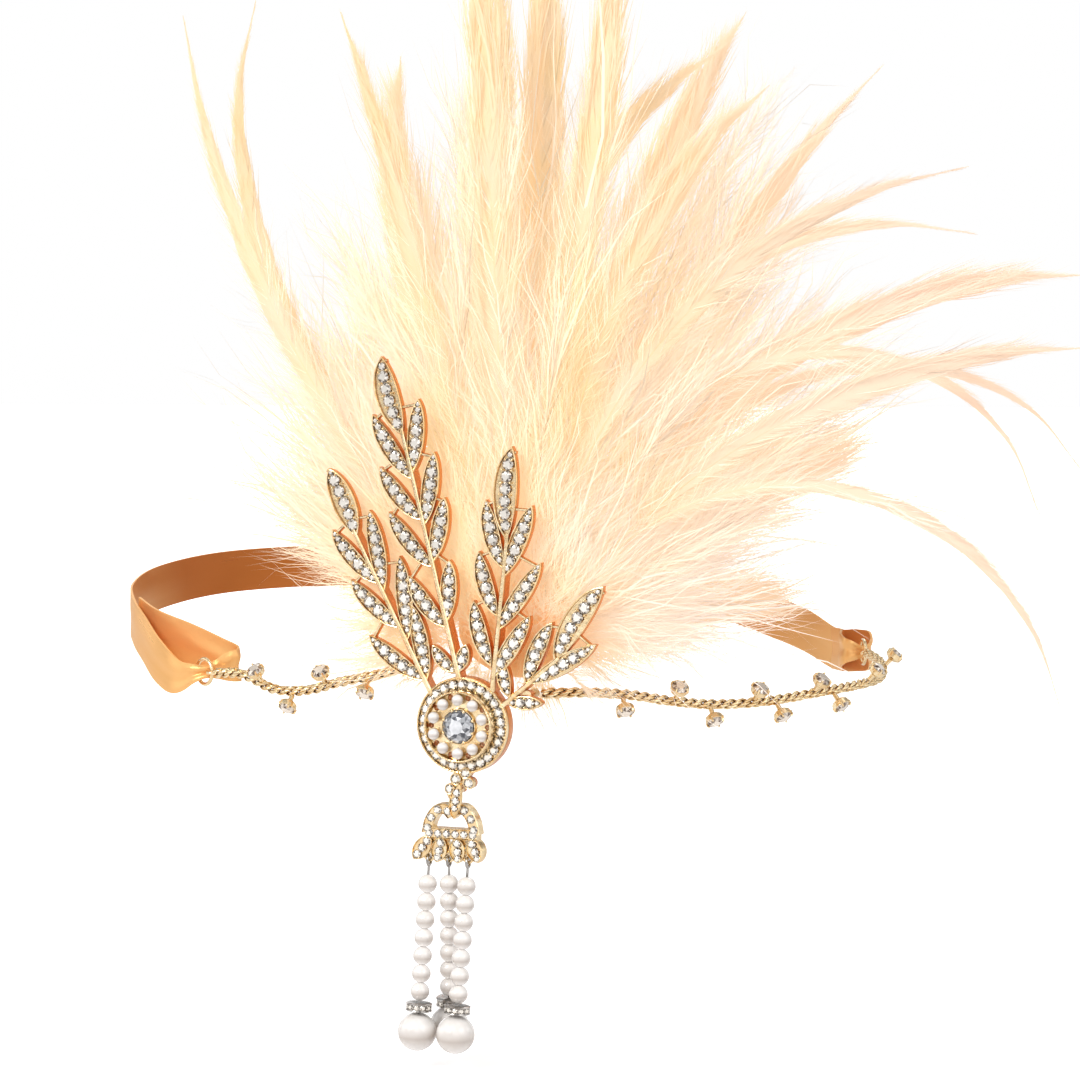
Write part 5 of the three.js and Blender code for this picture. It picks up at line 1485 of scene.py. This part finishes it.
plumeShafts = newObject("plumeShafts", shellMesh("plumeShafts", shaftShell, vaneFinish))
bladeMesh = bpy.data.meshes.new("plumeVanes")
bladeMesh.from_pydata(bladeParts["points"], [], bladeParts["faces"])
for label in ("share", "tone"):
    addValues(plumeShafts.data, label, np.full(len(plumeShafts.data.vertices), shaftLook[label]))
    addValues(bladeMesh, label, bladeParts[label])
addFlatMap(bladeMesh, "vane", bladeParts["vane"])
bladeMesh.shade_smooth()
bladeMesh.materials.append(bladeFinish)
keepBehind(plumeShafts.data)
keepBehind(bladeMesh)
shadeBehindLeaves(bladeMesh)
dress(plumeShafts, "headpiece", "feather", "feather_plume")
dress(newObject("plumeVanes", bladeMesh), "headpiece", "feather")
for shape, sets, finish, ruffle in ((vaneBarb, vaneSets, vaneFinish, plumeLook["vaneRuffle"]),
                                    (downBarb, downSets, downFinish, plumeLook["downRuffle"])):
    for index, (name, made) in enumerate(sets.items()):
        rowSets, shares, tones = zip(*made)
        rows = {label: np.vstack([rows[label] for rows in rowSets]) for label in ("at", "aim", "side", "size")}
        mesh = setOnPoints(name, shape, rows, finish, ruffle=ruffle * mm, ruffleSize=plumeLook["ruffleSize"],
                           seed=index + 1, extra={"share": np.concatenate(shares), "tone": np.concatenate(tones)})
        keepBehind(mesh)
        shadeBehindLeaves(mesh)
        dress(newObject(name, mesh), "headpiece", "feather")

# the felt pad behind the feathers, with a faint painted orange glow that brightens it where it lies in shade
feltLook = {"light": (0.95, 0.66, 0.36, 1), "dark": (0.92, 0.56, 0.26, 1), "glow": (0.95, 0.45, 0.15, 1),
            "glowStrength": 0.18, "patch": 900, "nap": 1800, "napStrength": 0.5, "napDepth": 0.3, "sides": 48,
            "rings": 20}


def makeFelt():
    material, tree, shader = newFinish("peachFelt", {
        "Roughness": 0.9, "Sheen Weight": 0.3, "Sheen Roughness": 0.6, "Emission Color": feltLook["glow"],
        "Emission Strength": feltLook["glowStrength"]})
    coords = objectCoords(tree)
    tree.links.new(patchy(tree, coords, feltLook["patch"], feltLook["light"], feltLook["dark"], detail=4.0),
                   shader.inputs["Base Color"])
    bumpFrom(tree, shader, mottleMask(tree, coords, feltLook["nap"], detail=4.0), feltLook["napStrength"],
             feltLook["napDepth"] * mm)
    return material


padShell = newShell()
padTurn = evenTurns(feltLook["sides"])
padLoops = []
for k in range(feltLook["rings"] + 1):
    swing = math.pi * (0.02 + 0.96 * k / feltLook["rings"])
    bulge = 1 + 0.015 * np.sin(5 * padTurn + k) + 0.01 * np.cos(9 * padTurn - 2 * k)
    across = plumeLook["across"] + plumeLook["halfWidth"] * math.sin(swing) * np.cos(padTurn) * bulge
    depth = plumeLook["depth"] - plumeLook["halfDepth"] * math.cos(swing)
    up = plumeLook["up"] + plumeLook["halfHeight"] * math.sin(swing) * np.sin(padTurn) * bulge
    padLoops.append(onCasting(across, depth, up))
addLoft(padShell, padLoops)
dress(newObject("plumePad", shellMesh("plumePad", padShell, makeFelt(), softFold)), "headpiece", "feather")

for shape in (stoneShape, pearlShape, grainShape, vaneBarb, downBarb):
    bpy.data.objects.remove(shape)

# floor, light and camera
stageLook = {"floorDrop": 4.0, "floorReach": 6, "floorLight": (0.93, 0.92, 0.92, 1),
             "floorShade": (0.91, 0.90, 0.905, 1), "floorPatch": 3, "key": 8.0, "fill": 2.0, "back": 1.2,
             "skyTop": 0.75, "skySide": 0.4, "mirrorLow": 0.3, "mirrorHigh": 1.4, "mirrorPatch": 2.6}
floorUp = cadLow.z - stageLook["floorDrop"] * mm
floorMesh = bpy.data.meshes.new("floor")
floorMesh.from_pydata([(x * stageLook["floorReach"], y * stageLook["floorReach"], floorUp)
                       for x, y in ((-1, -1), (1, -1), (1, 1), (-1, 1))], [], [(0, 1, 2, 3)])
floorFinish, floorTree, floorShader = newFinish("paleFloor", {"Roughness": 0.8, "Emission Color": (1, 1, 1, 1)})
floorCoords = objectCoords(floorTree)
floorTree.links.new(patchy(floorTree, floorCoords, stageLook["floorPatch"], stageLook["floorLight"],
                           stageLook["floorShade"]), floorShader.inputs["Base Color"])
floorFar = addNode(floorTree, "ShaderNodeVectorMath", {0: floorCoords}, operation="LENGTH").outputs["Value"]
floorSeen = addNode(floorTree, "ShaderNodeLightPath").outputs["Is Camera Ray"]
floorGlow = numberMath(floorTree, "MULTIPLY", mapValue(floorTree, floorFar, 0.1, 0.9, 0.35, 1.0), floorSeen)
floorTree.links.new(floorGlow, floorShader.inputs["Emission Strength"])
floorMesh.materials.append(floorFinish)
newObject("floor", floorMesh)


def softLight(name, place, target, size, power, colour):
    data = bpy.data.lights.new(name, "AREA")
    data.shape, data.size, data.energy, data.color = "DISK", size, power, colour
    lamp = newObject(name, data)
    lamp.location = place
    lamp.rotation_euler = (Vector(target) - Vector(place)).to_track_quat("-Z", "Y").to_euler()


softLight("keyLight", (-0.55, -0.95, 0.75), (0.02, -0.08, 0.04), 0.5, stageLook["key"], (1.0, 0.985, 0.96))
softLight("fillLight", (0.9, -0.8, 0.5), (0.02, -0.08, 0.04), 0.9, stageLook["fill"], (1.0, 0.98, 0.97))
softLight("backLight", (0.3, 0.9, 0.9), (0.02, -0.05, 0.06), 0.7, stageLook["back"], (1.0, 0.99, 0.97))


# white behind the object; dimmer toward the sides where it lights and mirrors
def makeStudio():
    world = bpy.data.worlds.new("studio")
    world.use_nodes = True
    tree = world.node_tree
    around = addNode(tree, "ShaderNodeTexCoord").outputs["Generated"]
    high = addNode(tree, "ShaderNodeSeparateXYZ", {0: around}).outputs["Z"]
    light = mapValue(tree, high, 0.0, 0.7, stageLook["skySide"], stageLook["skyTop"])
    path = addNode(tree, "ShaderNodeLightPath").outputs
    panels = addNode(tree, "ShaderNodeTexNoise", {"Vector": around, "Scale": stageLook["mirrorPatch"], "Detail": 1.0})
    mirror = mapValue(tree, panels.outputs[0], 0.42, 0.6, stageLook["mirrorLow"], stageLook["mirrorHigh"])
    strength = light
    for ray, value in (("Is Glossy Ray", mirror), ("Is Camera Ray", 1.0)):
        strength = addNode(tree, "ShaderNodeMix", {0: path[ray], 2: strength, 3: value}, data_type="FLOAT").outputs[0]
    background = tree.nodes["Background"]
    background.inputs["Color"].default_value = (1.0, 1.0, 1.0, 1)
    tree.links.new(strength, background.inputs["Strength"])
    scene.world = world


makeStudio()
scene.view_settings.view_transform = "Standard"

# the photograph's view: 9 degrees from the right, 7 from above
cameraLook = {"azimuth": 9, "elevation": 7, "distance": 0.650, "target": (0.0, -0.100, -0.007), "pixelsPerMm": 4.9,
              "at": (464, 726), "image": 1080, "sensor": 36, "farthest": 50}
azimuth, elevation = math.radians(cameraLook["azimuth"]), math.radians(cameraLook["elevation"])
toCamera = Vector((math.sin(azimuth) * math.cos(elevation), -math.cos(azimuth) * math.cos(elevation),
                   math.sin(elevation)))
image = cameraLook["image"]
cameraData = bpy.data.cameras.new("photoCamera")
cameraData.sensor_width = cameraLook["sensor"]
cameraData.lens = cameraLook["sensor"] * cameraLook["distance"] / (image / cameraLook["pixelsPerMm"] * mm)
cameraData.shift_x = (image / 2 - cameraLook["at"][0]) / image
cameraData.shift_y = (cameraLook["at"][1] - image / 2) / image
cameraData.clip_end = cameraLook["farthest"]
camera = newObject("photoCamera", cameraData)
camera.location = Vector(cameraLook["target"]) + toCamera * cameraLook["distance"]
camera.rotation_euler = (-toCamera).to_track_quat("-Z", "Y").to_euler()
scene.camera = camera

print("cad box", [round(v, 4) for v in (*cadLow, *cadHigh)])
